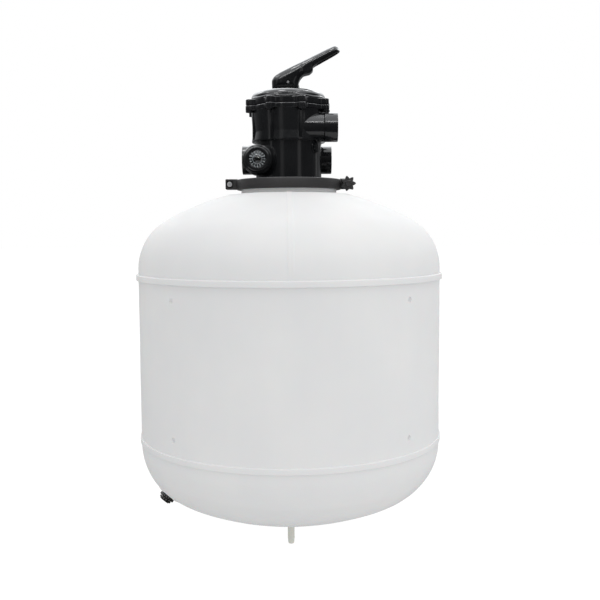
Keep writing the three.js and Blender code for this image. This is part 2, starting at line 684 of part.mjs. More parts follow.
// The lever seen from the front, as [x, z]: a hub over the stem and a grip that rises to the right.
// The hub's lower right corner is cut back as a cam, so the lever can be pressed down.
function leverOutline() {
  return [
    [-32, HANDLE.low], [15, HANDLE.low], [28, HANDLE.low + 5], [22, 951], [25, 962], [31, 968.5],
    [44, 971.5], [50.5, 978], [50.5, 985.5], [104, 1016], [98, 1024.5], [93, 1025.5], [77, 1019.5],
    [48.5, 1005.5], [27, 994.5], [4, 983], [-19, 972], [-27, 966.5], [-32.5, 959],
  ];
}

// The lever seen from above, as [x, y].
function leverPlan() {
  const { hubHalf, gripHalf } = HANDLE;
  const half = [
    [-31.5, hubHalf * 0.55], [-22, hubHalf * 0.9], [-8, hubHalf], [18, hubHalf], [38, hubHalf * 0.8],
    [56, gripHalf * 0.92], [90, gripHalf], [101, gripHalf * 0.8], [106, gripHalf * 0.35],
  ];
  return [...half, ...half.map(([x, y]) => [x, -y]).reverse()].reverse();
}

// The slot the stem swings through as the lever tips about its pin, as [x, z].
function stemSlot() {
  const { pinZ } = STEM;
  return [
    [-9.4, HANDLE.low - 5], [20, HANDLE.low - 5], [10.3, pinZ], [10.3, pinZ + 14.5],
    [-12.6, pinZ + 14.5], [-12.6, pinZ + 1], [-9.4, pinZ - 3],
  ];
}

function handle() {
  const side = prism(leverOutline(), -HANDLE.hubHalf - 1, HANDLE.hubHalf + 1).rotateX(Math.PI / 2);
  const plan = prism(leverPlan(), HANDLE.low - 5, HANDLE.low + 100);
  const slot = prism(stemSlot(), -HANDLE.slotHalf, HANDLE.slotHalf).rotateX(Math.PI / 2);
  const arch = box(-13, 2, -HANDLE.hubHalf - 2, -HANDLE.slotHalf + 1, HANDLE.low - 5, HANDLE.low + 5);
  const pinHole = facingFront(disc(STEM.pinR + GAP, -30, 30, 12), 0, STEM.pinZ);
  return cut(common(side, plan), slot, arch, pinHole);
}

function handlePin() {
  return facingFront(disc(STEM.pinR, -20.5, 20.5, 12), 0, STEM.pinZ);
}

// ---------------------------------------------------------------- assembly

addPart('tank_shell', tankShell(), 'tank');
addPart('standpipe', standpipe(), 'inner');
addPart('lateral_hub', lateralHub(), 'inner');
laterals(lateral).forEach((geometry, i) => addPart(`lateral_${i + 1}`, geometry, 'inner'));
addPart('diffuser', diffuser(), 'inner');

addPart('drain_fitting', drainFitting(), 'drain');
addPart('drain_gasket', atDrain(ring(12.9, 15.2, ...DRAIN_GASKET, ROUND.port)), 'rubber');
addPart('drain_nut', drainNut(), 'drain');
addPart('drain_screen', drainScreen(), 'inner');
addPart('drain_cap_seal', drainCapSeal(), 'rubber');
addPart('drain_cap', drainCap(), 'drain');

addPart('neck_oring', torus(79.4, 2.6, TANK.flangeTop - TANK.sealSeatDepth + 3), 'rubber');
addPart('clamp_front', clampHalf(-1), 'clamp');
addPart('clamp_rear', clampHalf(1), 'clamp');
addPart('clamp_bolt_left', clampBoltLeft(), 'steel');
addPart('clamp_nut_left', clampNutLeft(), 'steel');
addPart('clamp_bolt_right', clampBoltRight(), 'steel');
addPart('knob_washer', knobWasher(), 'steel');
addPart('clamp_knob', clampKnob(), 'clamp');

addPart('valve_body', valveBody(), 'valve');
addPart('gauge_plug', gaugePlug(), 'valve');
addPart('sight_gasket', sightGasket(), 'rubber');
addPart('sight_glass', sightGlass(), 'clear');
addPart('sight_bezel', sightBezel(), 'valve');

addPart('valve_cover', valveCover(), 'valve');
addPart('cover_oring', torus(72.95, 1.3, BODY.collarTop - 0.95), 'rubber');
screwAngles().forEach((azimuth, i) => {
  addPart(`cover_screw_${i + 1}`, coverScrew(azimuth), 'steel');
  addPart(`cover_nut_${i + 1}`, coverNut(azimuth), 'steel');
});

addPart('rotor', rotor(), 'inner');
addPart('spider_gasket', spiderGasket(), 'rubber');
addPart('spring', spring(), 'steel');
addPart('thrust_washer', thrustWasher(), 'nylon');
addPart('stem_oring', torus(9.75, 1.4, (COVER.glandLow + COVER.glandTop) / 2, ROUND.small), 'rubber');
addPart('cam_washer', camWasher(), 'nylon');
addPart('handle_pin', handlePin(), 'steel');
addPart('handle', handle(), 'valve');

export default model;
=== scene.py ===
# Looks for the sand filter tank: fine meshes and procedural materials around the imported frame.
# Meshes are built in millimetres in the frame's axes and turned into metres when a piece is finished.
import json
import math
import random

import bmesh
import bpy
import numpy as np
from mathutils import Matrix, Vector, noise


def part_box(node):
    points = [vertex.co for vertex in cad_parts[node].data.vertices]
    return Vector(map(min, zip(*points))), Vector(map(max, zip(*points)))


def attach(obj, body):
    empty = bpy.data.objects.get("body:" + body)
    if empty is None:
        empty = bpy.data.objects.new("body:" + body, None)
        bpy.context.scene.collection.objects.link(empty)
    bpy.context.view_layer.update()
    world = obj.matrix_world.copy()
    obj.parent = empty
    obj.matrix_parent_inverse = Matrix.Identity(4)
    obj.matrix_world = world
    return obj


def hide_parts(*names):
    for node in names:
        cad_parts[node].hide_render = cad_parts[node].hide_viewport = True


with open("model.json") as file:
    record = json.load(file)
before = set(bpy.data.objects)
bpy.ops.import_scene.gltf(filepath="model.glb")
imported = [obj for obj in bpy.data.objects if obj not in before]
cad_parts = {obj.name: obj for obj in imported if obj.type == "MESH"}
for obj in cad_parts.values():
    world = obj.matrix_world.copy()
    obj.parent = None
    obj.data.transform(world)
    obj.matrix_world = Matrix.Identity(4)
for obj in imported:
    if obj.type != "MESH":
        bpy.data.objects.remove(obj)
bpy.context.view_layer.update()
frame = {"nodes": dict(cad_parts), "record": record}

MM = 0.001
TAU = 2 * math.pi
CHANCE = random.Random(5)

# ---------------------------------------------------------------- driving dimensions, in millimetres

TANK = {
    "radius": 305, "wall": 6, "top_wall": 8, "peg": 7.1,
    "bottom": {"crown": 548, "knuckle": 118, "r": 187, "z": 230},
    "top": {"crown": 500, "knuckle": 112, "r": 193, "z": 582},
    "lower_rib": {"z": 241.2, "height": 12, "proud": 2.3},
    "upper_rib": {"z": 566.6, "height": 12.2, "proud": 4.4},
    "neck": 96, "bore": 77, "flange": 102, "flange_low": 743, "flange_top": 749.5, "seal_seat": 84,
}
PEG_ROOT = 11  # radius where the crown's lowest row starts, outside the peg
NECK_FOOT = 124  # radius where the crown leaves off and the soft foot of the neck starts
BARREL_ROWS = range(260, 549, 12)
SEAL_DEPTH = 6  # of the neck's seal seat below the flange's top
DOME_TURN = 1.2  # degrees the moulding is turned from the front
SEAM_WIDTH = 11.0
SEAM_EDGE = 2.4
SEAM_PROUD = 0.8
SEAM_MARGIN = 4  # how far below the dome and the flange the seam starts and stops
SEAM_FADE = 10  # height over which it rises from the barrel
WAVE_SCALE = 0.011  # unevenness of the moulding: scale, then heights of the broad and fine waves
WAVE = 0.55
RIPPLE = 0.18
DIMPLE_ROWS = (277, 532)
DIMPLE_RADIUS = 5.2
DIMPLE_DEPTH = 4.0

DRAIN_TURN = 208  # azimuth of the drain
DRAIN_DROP = -46  # its direction below the horizontal

BODY = {
    "skirt": 74, "skirt_bore": 68, "skirt_low": 735, "flange_low": 750, "flange_top": 758, "flange": 102,
    "lower": 66.3, "lower_bore": 61.5, "seat_low": 835, "seat_top": 841, "seat": 74, "waist": 72,
    "waist_z": 848, "upper": 75, "upper_bore": 69, "collar_low": 896, "collar_top": 905.5, "collar": 76,
    "tube": 29, "tube_bore": 24.4, "tube_top": 828.3,
}
COVER = {
    "low": 905.8, "rim": 918, "outer": 76, "shoulder": 16, "top": 937, "wall": 4.5, "crown": 26,
    "bore": 8.6, "gland": 11.2, "gland_low": 922.5, "gland_top": 927,
}
PORT_RADIUS = 29
PORT_NECK = 27
PORT_BORE = 23
SCREW_CIRCLE = 82
SCREW_FIRST = -115.5
SCREW_COUNT = 8
SCREW_HOLE = 3.3
SCREW_HEAD_SEAT = 913.5
NUT_GUARD = 892.2  # foot of the round guards about the nuts
PIN_Z = 953.5
PIN_RADIUS = 3
HANDLE_LOW = 939

# ---------------------------------------------------------------- mesh helpers


def box_mm(node):
    low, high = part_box(node)
    return low / MM, high / MM


def centre_mm(node):
    low, high = box_mm(node)
    return (low + high) / 2


def mesh_object(name, verts, faces):
    mesh = bpy.data.meshes.new(name)
    mesh.from_pydata([tuple(v) for v in verts], [], faces)
    obj = bpy.data.objects.new(name, mesh)
    bpy.context.scene.collection.objects.link(obj)
    edit(obj, lambda bm: bmesh.ops.recalc_face_normals(bm, faces=bm.faces))
    return obj


def edit(obj, change):
    bm = bmesh.new()
    bm.from_mesh(obj.data)
    change(bm)
    bm.to_mesh(obj.data)
    bm.free()
    return obj


def apply_modifiers(obj):
    graph = bpy.context.evaluated_depsgraph_get()
    mesh = bpy.data.meshes.new_from_object(obj.evaluated_get(graph))
    obj.modifiers.clear()
    obj.data = mesh
    return obj


def boolean(obj, tools, operation):
    """Joins or cuts closed solids, one tool after another."""
    for tool in tools:
        modifier = obj.modifiers.new("boolean", "BOOLEAN")
        modifier.operation = operation
        modifier.solver = "MANIFOLD"
        modifier.object = tool
        apply_modifiers(obj)
        bpy.data.objects.remove(tool)
    return obj


def join(obj, *tools):
    return boolean(obj, tools, "UNION")


def cut(obj, *tools):
    return boolean(obj, tools, "DIFFERENCE")


def polar(radius, angle):
    return [radius * math.cos(angle), radius * math.sin(angle)]


def arc(centre_r, centre_z, radius, start, end, steps):
    """Points [r, z] on an arc between two angles in degrees."""
    angles = [math.radians(start + (end - start) * i / steps) for i in range(steps + 1)]
    return [[centre_r + radius * math.cos(a), centre_z + radius * math.sin(a)] for a in angles]


def rounded(points, steps=3):
    """An outline whose corners are rounded where a point gives a third number, its radius."""
    closed = points[0][:2] == points[-1][:2]
    core = points[:-1] if closed else points
    out = []
    for i, point in enumerate(core):
        ends = not closed and i in (0, len(core) - 1)
        if len(point) < 3 or ends:
            out.append(list(point[:2]))
            continue
        corner = Vector(point[:2])
        before = Vector(core[i - 1][:2]) - corner
        after = Vector(core[(i + 1) % len(core)][:2]) - corner
        half = before.angle(after) / 2
        reach = min(point[2] / math.tan(half), before.length * 0.48, after.length * 0.48)
        start = corner + before.normalized() * reach
        end = corner + after.normalized() * reach
        for k in range(steps + 1):
            t = k / steps
            out.append(list(start * (1 - t) ** 2 + corner * 2 * t * (1 - t) + end * t ** 2))
    if closed:
        out.append(list(out[0]))
    return out


def lathe(name, profile, steps=96, angles=None, shift=None):
    """A closed solid: [r, z] points turned about Z. The profile starts and ends on the axis, or closes.
    shift moves a point, from its row, angle, r and z."""
    angles = angles or [TAU * i / steps for i in range(steps)]
    looped = profile[0] == profile[-1]
    rows = profile[:-1] if looped else profile
    verts, index = [], []
    for k, (r, z) in enumerate(rows):
        if r < 1e-6:
            index.append([len(verts)] * len(angles))
            verts.append((0, 0, z))
            continue
        index.append(range(len(verts), len(verts) + len(angles)))
        for a in angles:
            rr, zz = shift(k, a, r, z) if shift else (r, z)
            verts.append((rr * math.cos(a), rr * math.sin(a), zz))
    faces = []
    pairs = list(zip(index, index[1:])) + ([(index[-1], index[0])] if looped else [])
    for low, high in pairs:
        for j in range(len(angles)):
            n = (j + 1) % len(angles)
            face = list(dict.fromkeys([low[j], low[n], high[n], high[j]]))
            if len(face) > 2:
                faces.append(face)
    return mesh_object(name, verts, faces)


def ring(name, inner, outer, low, high, edge=0.0, steps=64):
    corners = [[inner, low, edge], [outer, low, edge], [outer, high, edge], [inner, high, edge]]
    return lathe(name, rounded(corners + [corners[0]]), steps)


def disc(name, radius, low, high, edge=0.0, steps=64):
    return lathe(name, rounded([[0, low], [radius, low, edge], [radius, high, edge], [0, high]]), steps)


def prism(name, outline, low, high, edge=0.0, steps=2):
    """An [x, y] outline raised along Z, with its rims rounded."""
    count = len(outline)
    verts = [(x, y, low) for x, y in outline] + [(x, y, high) for x, y in outline]
    sides = [[i, (i + 1) % count, (i + 1) % count + count, i + count] for i in range(count)]
    obj = mesh_object(name, verts, sides + [list(range(count)), list(range(count, 2 * count))])
    if edge:
        def soften(bm):
            rims = [e for e in bm.edges if abs(e.verts[0].co.z - e.verts[1].co.z) < 1e-6]
            bmesh.ops.bevel(bm, geom=rims, offset=edge, segments=steps, affect="EDGES", profile=0.5)
        edit(obj, soften)
    return obj


def block(name, x0, x1, y0, y1, z0, z1, edge=0.0):
    outline = rounded([[x0, y0, edge], [x1, y0, edge], [x1, y1, edge], [x0, y1, edge], [x0, y0, edge]])
    return prism(name, outline[:-1], z0, z1, edge)


def hexagon(across):
    corner = across / 2 / math.cos(math.radians(30))
    return [polar(corner, TAU * i / 6) for i in range(6)]


def sector(name, inner, outer, start, end, low, high):
    """A block between two radii and two angles in degrees."""
    steps = max(3, int((end - start) / 4))
    outline = arc(0, 0, outer, start, end, steps) + arc(0, 0, inner, end, start, steps)
    return prism(name, outline, low, high)


def placed(obj, matrix):
    obj.data.transform(matrix)
    return obj


def spun(obj, degrees):
    return placed(obj, Matrix.Rotation(math.radians(degrees), 4, "Z"))


def aim(direction, point=(0, 0, 0)):
    """The matrix that takes +Z to a direction from a point."""
    turn = Vector((0, 0, 1)).rotation_difference(Vector(direction).normalized())
    return Matrix.Translation(Vector(point)) @ turn.to_matrix().to_4x4()


def upright(obj):
    """Stands a prism up, so that its [x, y] outline lies in X and Z."""
    return placed(obj, Matrix.Rotation(math.pi / 2, 4, "X"))


def along_x(obj, y, z):
    return placed(obj, aim((1, 0, 0), (0, y, z)))


def to_front(obj, x, z):
    return placed(obj, aim((0, -1, 0), (x, 0, z)))


def finish_piece(obj, name, finish, body, node, smooth_angle=35):
    """Metres, smooth shading with creases kept, its finish, the body it rides on and the node it replaces."""
    slot, material = finish
    obj.name = name
    obj.data.name = name
    obj.data.transform(Matrix.Scale(MM, 4))

    def shade(bm):
        bmesh.ops.remove_doubles(bm, verts=bm.verts, dist=2e-6)
        bmesh.ops.dissolve_degenerate(bm, edges=bm.edges, dist=1e-7)
        for face in bm.faces:
            face.smooth = True
        for e in bm.edges:
            e.smooth = e.calc_face_angle(0) < math.radians(smooth_angle)
    edit(obj, shade)
    obj.data.materials.clear()
    obj.data.materials.append(material)
    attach(obj, body)
    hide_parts(node)
    return obj


# ---------------------------------------------------------------- materials


class Shader:
    """A node material on object coordinates, in metres."""

    def __init__(self, name, slot=None, **sockets):
        self.slot = slot or name
        self.material = bpy.data.materials.new(name)
        self.material.use_nodes = True
        self.tree = self.material.node_tree
        self.tree.nodes.clear()
        output = self.tree.nodes.new("ShaderNodeOutputMaterial")
        self.bsdf = self.tree.nodes.new("ShaderNodeBsdfPrincipled")
        self.tree.links.new(self.bsdf.outputs["BSDF"], output.inputs["Surface"])
        self.coords = self.tree.nodes.new("ShaderNodeTexCoord").outputs["Object"]
        for socket, value in sockets.items():
            self.bsdf.inputs[socket.replace("_", " ")].default_value = value
        self.normal = None

    def put(self, kind, inputs=None, **settings):
        node = self.tree.nodes.new(kind)
        for key, value in settings.items():
            setattr(node, key, value)
        for key, value in (inputs or {}).items():
            if isinstance(value, bpy.types.NodeSocket):
                self.tree.links.new(value, node.inputs[key])
            else:
                node.inputs[key].default_value = value
        return node

    def noise(self, scale, detail=3.0, roughness=0.55, stretch=(1, 1, 1)):
        mapping = self.put("ShaderNodeMapping", {"Vector": self.coords, "Scale": stretch})
        texture = self.put("ShaderNodeTexNoise", {
            "Vector": mapping.outputs["Vector"], "Scale": scale, "Detail": detail,
            "Roughness": roughness})
        return texture.outputs["Fac"]

    def ramp(self, value, low, high, start=0.35, end=0.65):
        """Takes a 0 to 1 value to a number between low and high."""
        node = self.put("ShaderNodeMapRange", {
            "Value": value, "From Min": start, "From Max": end, "To Min": low, "To Max": high})
        return node.outputs["Result"]

    def mix(self, factor, a, b):
        node = self.put("ShaderNodeMix", {"Factor": factor}, data_type="RGBA")
        for socket, value in (("A", a), ("B", b)):
            target = next(i for i in node.inputs if i.name == socket and i.type == "RGBA")
            if isinstance(value, bpy.types.NodeSocket):
                self.tree.links.new(value, target)
            else:
                target.default_value = (*value, 1)
        return next(o for o in node.outputs if o.type == "RGBA")

    def colour(self, value):
        self.tree.links.new(value, self.bsdf.inputs["Base Color"])

    def roughness(self, value):
        self.tree.links.new(value, self.bsdf.inputs["Roughness"])

    def bump(self, value, distance, strength):
        """Adds a layer of bump: distance is its height in metres."""
        inputs = {"Height": value, "Distance": distance, "Strength": strength}
        if self.normal:
            inputs["Normal"] = self.normal
        self.normal = self.put("ShaderNodeBump", inputs).outputs["Normal"]
        self.tree.links.new(self.normal, self.bsdf.inputs["Normal"])

    def finish(self):
        return self.slot, self.material


def plain_finish(name, colours, tint, gloss, roughness, bumps, **settings):
    """Clouded between two colours and unevenly glossy. A noise is its scale, detail and roughness."""
    s = Shader(name, **settings)
    s.colour(s.mix(s.ramp(s.noise(*tint), 0, 1), *colours))
    s.roughness(s.ramp(s.noise(*gloss), *roughness))
    for texture, distance, strength in bumps:
        s.bump(s.noise(*texture), distance, strength)
    return s.finish()


def tank_finish():
    """Satin white, faintly clouded, and duller and yellower on the peg: partly the peg's own natural-plastic
    tone, partly painted shade from under the tank.
    """
    s = Shader("tank_plastic", IOR=1.5, Specular_IOR_Level=0.05, Subsurface_Weight=0.06,
               Subsurface_Scale=0.004)
    cloud = s.noise(5, 4)
    flow = s.noise(9, 3, stretch=(1, 1, 0.25))
    base = s.mix(s.ramp(cloud, 0, 1), (0.685, 0.69, 0.695), (0.72, 0.722, 0.72))
    base = s.mix(s.ramp(flow, 0, 0.35), base, (0.665, 0.67, 0.68))
    # Below about 7 cm the colour turns darker and yellower: the peg's own natural-plastic tone, and painted
    # shade from under the tank.
    height = s.put("ShaderNodeSeparateXYZ", {"Vector": s.coords}).outputs["Z"]
    base = s.mix(s.ramp(height, 0.8, 0.0, 0.060, 0.076), base, (0.56, 0.56, 0.50))
    s.colour(base)
    s.roughness(s.ramp(s.noise(40, 4), 0.50, 0.64))
    s.bump(s.noise(14, 2), 0.0011, 0.5)
    s.bump(s.noise(420, 3, 0.6), 0.00018, 0.5)
    return s.finish()


def clamp_finish():
    s = Shader("clamp_charcoal", IOR=1.5)
    flow = s.noise(30, 4, stretch=(0.35, 0.35, 3))
    s.colour(s.mix(s.ramp(flow, 0, 1), (0.019, 0.019, 0.020), (0.028, 0.026, 0.026)))
    s.roughness(s.ramp(s.noise(300, 4), 0.40, 0.55))
    s.bump(s.noise(2200, 3, 0.7), 0.00012, 0.6)
    s.bump(flow, 0.0004, 0.2)
    return s.finish()


def steel_finish():
    s = Shader("bright_steel", Metallic=0.5, IOR=2.2)
    brushed = s.noise(900, 3, stretch=(1, 1, 0.06))
    s.colour(s.mix(s.ramp(s.noise(90, 4), 0, 1), (0.52, 0.52, 0.53), (0.66, 0.66, 0.67)))
    s.roughness(s.ramp(brushed, 0.3, 0.46))
    s.bump(brushed, 0.00003, 0.5)
    return s.finish()


TANK_PLASTIC = tank_finish()
VALVE_BLACK = plain_finish(
    "valve_black", [(0.0055, 0.006, 0.007), (0.0085, 0.009, 0.010)], (22, 4), (55, 5, 0.65), (0.11, 0.19),
    [((26, 2), 0.0003, 0.3), ((650, 3), 0.00001, 0.4)], IOR=1.5)
CLAMP_CHARCOAL = clamp_finish()
DRAIN_BLACK = plain_finish(
    "drain_black", [(0.010, 0.010, 0.009), (0.020, 0.019, 0.017)], (120, 3), (260, 4), (0.35, 0.5),
    [((1500, 3), 0.0001, 0.5)], IOR=1.5)
STEEL = steel_finish()
INNER_PLASTIC = plain_finish(
    "inner_plastic", [(0.60, 0.59, 0.54), (0.68, 0.67, 0.62)], (30, 4), (80, 4), (0.4, 0.55),
    [((500, 3), 0.0001, 0.4)], IOR=1.5)
NYLON = plain_finish(
    "nylon_white", [(0.76, 0.79, 0.75), (0.84, 0.86, 0.82)], (60, 3), (140, 4), (0.28, 0.42),
    [((700, 3), 0.00006, 0.5)], IOR=1.53, Subsurface_Weight=0.1, Subsurface_Scale=0.002)
RUBBER = plain_finish(
    "seal_rubber", [(0.012, 0.012, 0.012), (0.022, 0.022, 0.021)], (90, 3), (400, 4), (0.65, 0.85),
    [((900, 3), 0.00012, 0.5)], IOR=1.5)
CLEAR = plain_finish(
    "sight_clear", [(0.90, 0.93, 0.94), (0.97, 0.98, 0.98)], (120, 3), (250, 4), (0.03, 0.12),
    [((260, 2), 0.0002, 0.4)], IOR=1.49, Transmission_Weight=1.0)
# The sight glass's teeth get a pale grey, partly see-through copy of the clear finish: a painted glint
# standing in for the light that clear teeth catch.
PAINTED_GLINT = plain_finish(
    "sight_painted_glint", [(0.34, 0.37, 0.39), (0.50, 0.53, 0.55)], (160, 3), (300, 4), (0.08, 0.22),
    [((500, 2), 0.0002, 0.5)], slot="sight_clear", IOR=1.49, Transmission_Weight=0.35)

# ---------------------------------------------------------------- tank


def crown_centre(dome, side):
    rise = math.sqrt((dome["crown"] - dome["knuckle"]) ** 2 - dome["r"] ** 2)
    return dome["z"] - side * rise


def dome_join(dome, side):
    """The angle where the crown meets the knuckle, in degrees from the horizontal."""
    return math.degrees(math.atan2(dome["z"] - crown_centre(dome, side), dome["r"]))


def crown_angle(crown, radius):
    return math.degrees(math.acos(radius / crown))


def rib_profile(rib):
    """A band round the barrel with a flat face and small corners."""
    skin = TANK["radius"]
    half = rib["height"] / 2
    out = skin + rib["proud"]
    return rounded([
        [skin, rib["z"] - half - 4], [skin, rib["z"] - half, 1.0], [out, rib["z"] - half + 0.7, 1.0],
        [out, rib["z"] + half - 0.9, 1.1], [skin, rib["z"] + half, 1.0], [skin, rib["z"] + half + 4],
    ], 4)


def tank_outside():
    bottom, top = TANK["bottom"], TANK["top"]
    low_z, high_z = crown_centre(bottom, -1), crown_centre(top, 1)
    low_join, high_join = dome_join(bottom, -1), dome_join(top, 1)
    peg_root = arc(0, low_z, bottom["crown"], -crown_angle(bottom["crown"], PEG_ROOT), low_join, 22)
    tip = rounded([[0, 0], [TANK["peg"] - 1.2, 0, 2.5], [TANK["peg"], 12, 3], [TANK["peg"], 68, 4],
                   peg_root[0]], 4)[:-1]
    neck_foot = arc(0, high_z, top["crown"], high_join, crown_angle(top["crown"], NECK_FOOT), 22)
    neck = rounded([neck_foot[-1], [108, 731.6, 9], [TANK["neck"] + 0.5, 731.9, 2.5],
                    [TANK["neck"], TANK["flange_low"], 0.8],
                    [TANK["flange"], TANK["flange_low"], 1], [TANK["flange"], TANK["flange_top"], 1],
                    [TANK["seal_seat"], TANK["flange_top"]]], 4)[1:]
    return [
        *tip, *peg_root,
        *arc(bottom["r"], bottom["z"], bottom["knuckle"], low_join, -5, 16)[1:],
        *rib_profile(TANK["lower_rib"]),
        *[[TANK["radius"], z] for z in BARREL_ROWS],
        *rib_profile(TANK["upper_rib"]),
        *arc(top["r"], top["z"], top["knuckle"], 1, high_join, 18),
        *neck_foot[1:], *neck,
    ]


def tank_inside():
    bottom, top, wall, top_wall = TANK["bottom"], TANK["top"], TANK["wall"], TANK["top_wall"]
    high_z, low_z = crown_centre(top, 1), crown_centre(bottom, -1)
    inner_top, inner_bottom = top["crown"] - top_wall, bottom["crown"] - wall
    seat_z = TANK["flange_top"] - SEAL_DEPTH
    return [
        [TANK["seal_seat"], seat_z], [TANK["bore"], seat_z],
        *arc(0, high_z, inner_top, crown_angle(inner_top, TANK["bore"]), dome_join(top, 1), 8),
        *arc(top["r"], top["z"], top["knuckle"] - top_wall, dome_join(top, 1), 0, 8)[1:],
        *arc(bottom["r"], bottom["z"], bottom["knuckle"] - wall, 0, dome_join(bottom, -1), 8),
        *arc(0, low_z, inner_bottom, dome_join(bottom, -1), -90, 6)[1:-1], [0, low_z - inner_bottom],
    ]


def tank_angles():
    """Even steps round the tank, with fine ones across the two parting seams."""
    even = [math.radians(1.5 * i) for i in range(240)]
    fine = [math.radians(side + DOME_TURN + 0.25 * i) for side in (90, 270) for i in range(-16, 17)]
    return sorted({round(a % TAU, 6) for a in even + fine})


def seam_lift(r, z, angle):
    """Height of the flat parting band that runs down the upper dome, front and back."""
    start = TANK["top"]["z"] - SEAM_MARGIN
    if not start < z < TANK["flange_low"] - SEAM_MARGIN:
        return 0.0
    off = abs(r * math.cos(angle - math.radians(DOME_TURN)))
    edge = (SEAM_WIDTH / 2 - off) / SEAM_EDGE + 0.5
    fade = min(1.0, (z - start) / SEAM_FADE)
    return SEAM_PROUD * min(1.0, max(0.0, edge)) * fade


def moulded(outside):
    """Blow-moulded unevenness and the parting seams, pushed out along the dome's normal."""
    plain = len(outside) - 8  # rows from the flange's top on, with all the inside, stay as they are

    def shift(k, angle, r, z):
        if k >= plain or r < TANK["peg"] + 6:
            return r, z
        before, after = outside[k - 1], outside[k + 1]
        along = Vector((after[0] - before[0], after[1] - before[1])).normalized()
        spot = Vector((*polar(r, angle), z)) * WAVE_SCALE
        lift = seam_lift(r, z, angle) + WAVE * noise.noise(spot) + RIPPLE * noise.noise(spot * 3.1)
        return r + along.y * lift, z - along.x * lift
    return shift


def drain_frame():
    """Takes a piece built along +Z, from the tank's surface at z = 0, to the drain."""
    bottom = TANK["bottom"]
    drop, turn = math.radians(DRAIN_DROP), math.radians(DRAIN_TURN)
    r = bottom["r"] + bottom["knuckle"] * math.cos(drop)
    z = bottom["z"] + bottom["knuckle"] * math.sin(drop)
    return aim((*polar(math.cos(drop), turn), math.sin(drop)), (*polar(r, turn), z))


def dimple_cutters():
    """Balls that press a shallow round hollow into the barrel at each quarter, in two rows."""
    sphere = (DIMPLE_RADIUS ** 2 + DIMPLE_DEPTH ** 2) / 2 / DIMPLE_DEPTH
    out = TANK["radius"] + sphere - DIMPLE_DEPTH
    balls = []
    for z in DIMPLE_ROWS:
        for quarter in range(4):
            ball = lathe("dimple", [[0, -sphere], *arc(0, 0, sphere, -80, 80, 14), [0, sphere]], 32)
            placed(ball, Matrix.Translation((out, 0, z)))
            balls.append(spun(ball, 45 + 90 * quarter + DOME_TURN))
    return balls


def tank():
    outside = tank_outside()
    profile = outside + tank_inside()
    shell = lathe("tank", profile, angles=tank_angles(), shift=moulded(outside))
    pad = lathe("pad", rounded([
        [0, -11], [19, -11], [28, -6], [28.5, -3.6, 1], [24, -1.1, 3], [19.5, 0.3, 1.5], [17.5, 0.8, 1],
        [0, 0.8],
    ]), 96)
    join(shell, placed(pad, drain_frame()))
    cut(shell, placed(disc("bore", 12.3, -18, 6), drain_frame()), *dimple_cutters())
    finish_piece(shell, "tank", TANK_PLASTIC, "root", "tank_shell", 50)


# ---------------------------------------------------------------- drain


def knurled(radius, depth, count, per=6):
    """An outline with rounded grip ribs."""
    out = []
    for i in range(count * per):
        a = TAU * i / count / per
        rib = max(0.0, math.cos(count * a)) ** 0.6
        out.append(polar(radius - depth + depth * rib, a))
    return out


def drain():
    """The fitting and its cap, built outwards from the tank's surface."""
    fitting = prism("fitting", knurled(15.2, 0.9, 20), 1.3, 6.6, 1.2, 3)
    join(fitting, disc("shank", 11.9, -24, 3, 0.6), disc("spigot", 7.4, 6, 11.1, 0.5))
    cut(fitting, disc("passage", 4.5, -26, 13))
    placed(fitting, drain_frame())
    finish_piece(fitting, "drain_body", DRAIN_BLACK, "root", "drain_fitting")
    cap = prism("cap", knurled(12.4, 1.0, 14), 6.9, 11.0, 1.2, 3)
    wing = block("wing", -8.6, 8.6, -1.6, 1.6, 10.8, 13.3, 0.5)
    join(cap, disc("crown", 9.8, 10.5, 12.9, 1.4), wing)
    cut(cap, disc("cup", 8.1, 6, 11.7))
    placed(cap, drain_frame())
    finish_piece(cap, "drain_screw_cap", DRAIN_BLACK, "cap", "drain_cap")


# ---------------------------------------------------------------- clamp


CLAMP = {
    "outer": 105.5, "top": 760.5, "lip_low": 97, "lip_top": 92, "groove": 102.6, "groove_low": 742.7,
    "groove_top": 758.3, "lug_face": 15, "split": 0.7, "left_hole": 3.4, "right_hole": 4.3,
}
CLAMP_BOLT = centre_mm("clamp_bolt_right")     # the knob, the washer and its bolt share this axis
FAR = 140  # beyond the clamp on every side


def clamp_half(side, name, node):
    """side is -1 for the front half, 1 for the rear half."""
    c = CLAMP
    low, high = box_mm(node)
    split = side * c["split"]
    half = lathe(name, rounded([
        [c["lip_low"], low.z, 0.6], [c["outer"], low.z, 1.6], [c["outer"], c["top"], 1.6],
        [c["lip_top"], c["top"], 0.8], [c["lip_top"], c["groove_top"] + 0.1, 0.4],
        [c["groove"], c["groove_top"]], [c["groove"], c["groove_low"]],
        [c["lip_low"], c["groove_low"] - 0.1, 0.4], [c["lip_low"], low.z, 0.6],
    ]), 192)
    depth = sorted((split, side * c["lug_face"]))
    for end in (-1, 1):
        reach = sorted((end * (c["groove"] + 0.6), end * high.x))
        join(half, block("lug", *reach, *depth, low.z + 1.5, high.z, 1.4))
    cut(half, block("away", -FAR, FAR, *sorted((split, -side * FAR)), low.z - 5, high.z + 5))
    for x, radius in ((-CLAMP_BOLT.x, c["left_hole"]), (CLAMP_BOLT.x, c["right_hole"])):
        cut(half, to_front(disc("hole", radius, -40, 40), x, CLAMP_BOLT.z))
    if side < 0:
        cut(half, block("pocket", -high.x + 1.8, -high.x + 15.6, -20, -9, low.z + 3.6, high.z - 2.2, 1.0))
    finish_piece(half, name, CLAMP_CHARCOAL, "root", node)


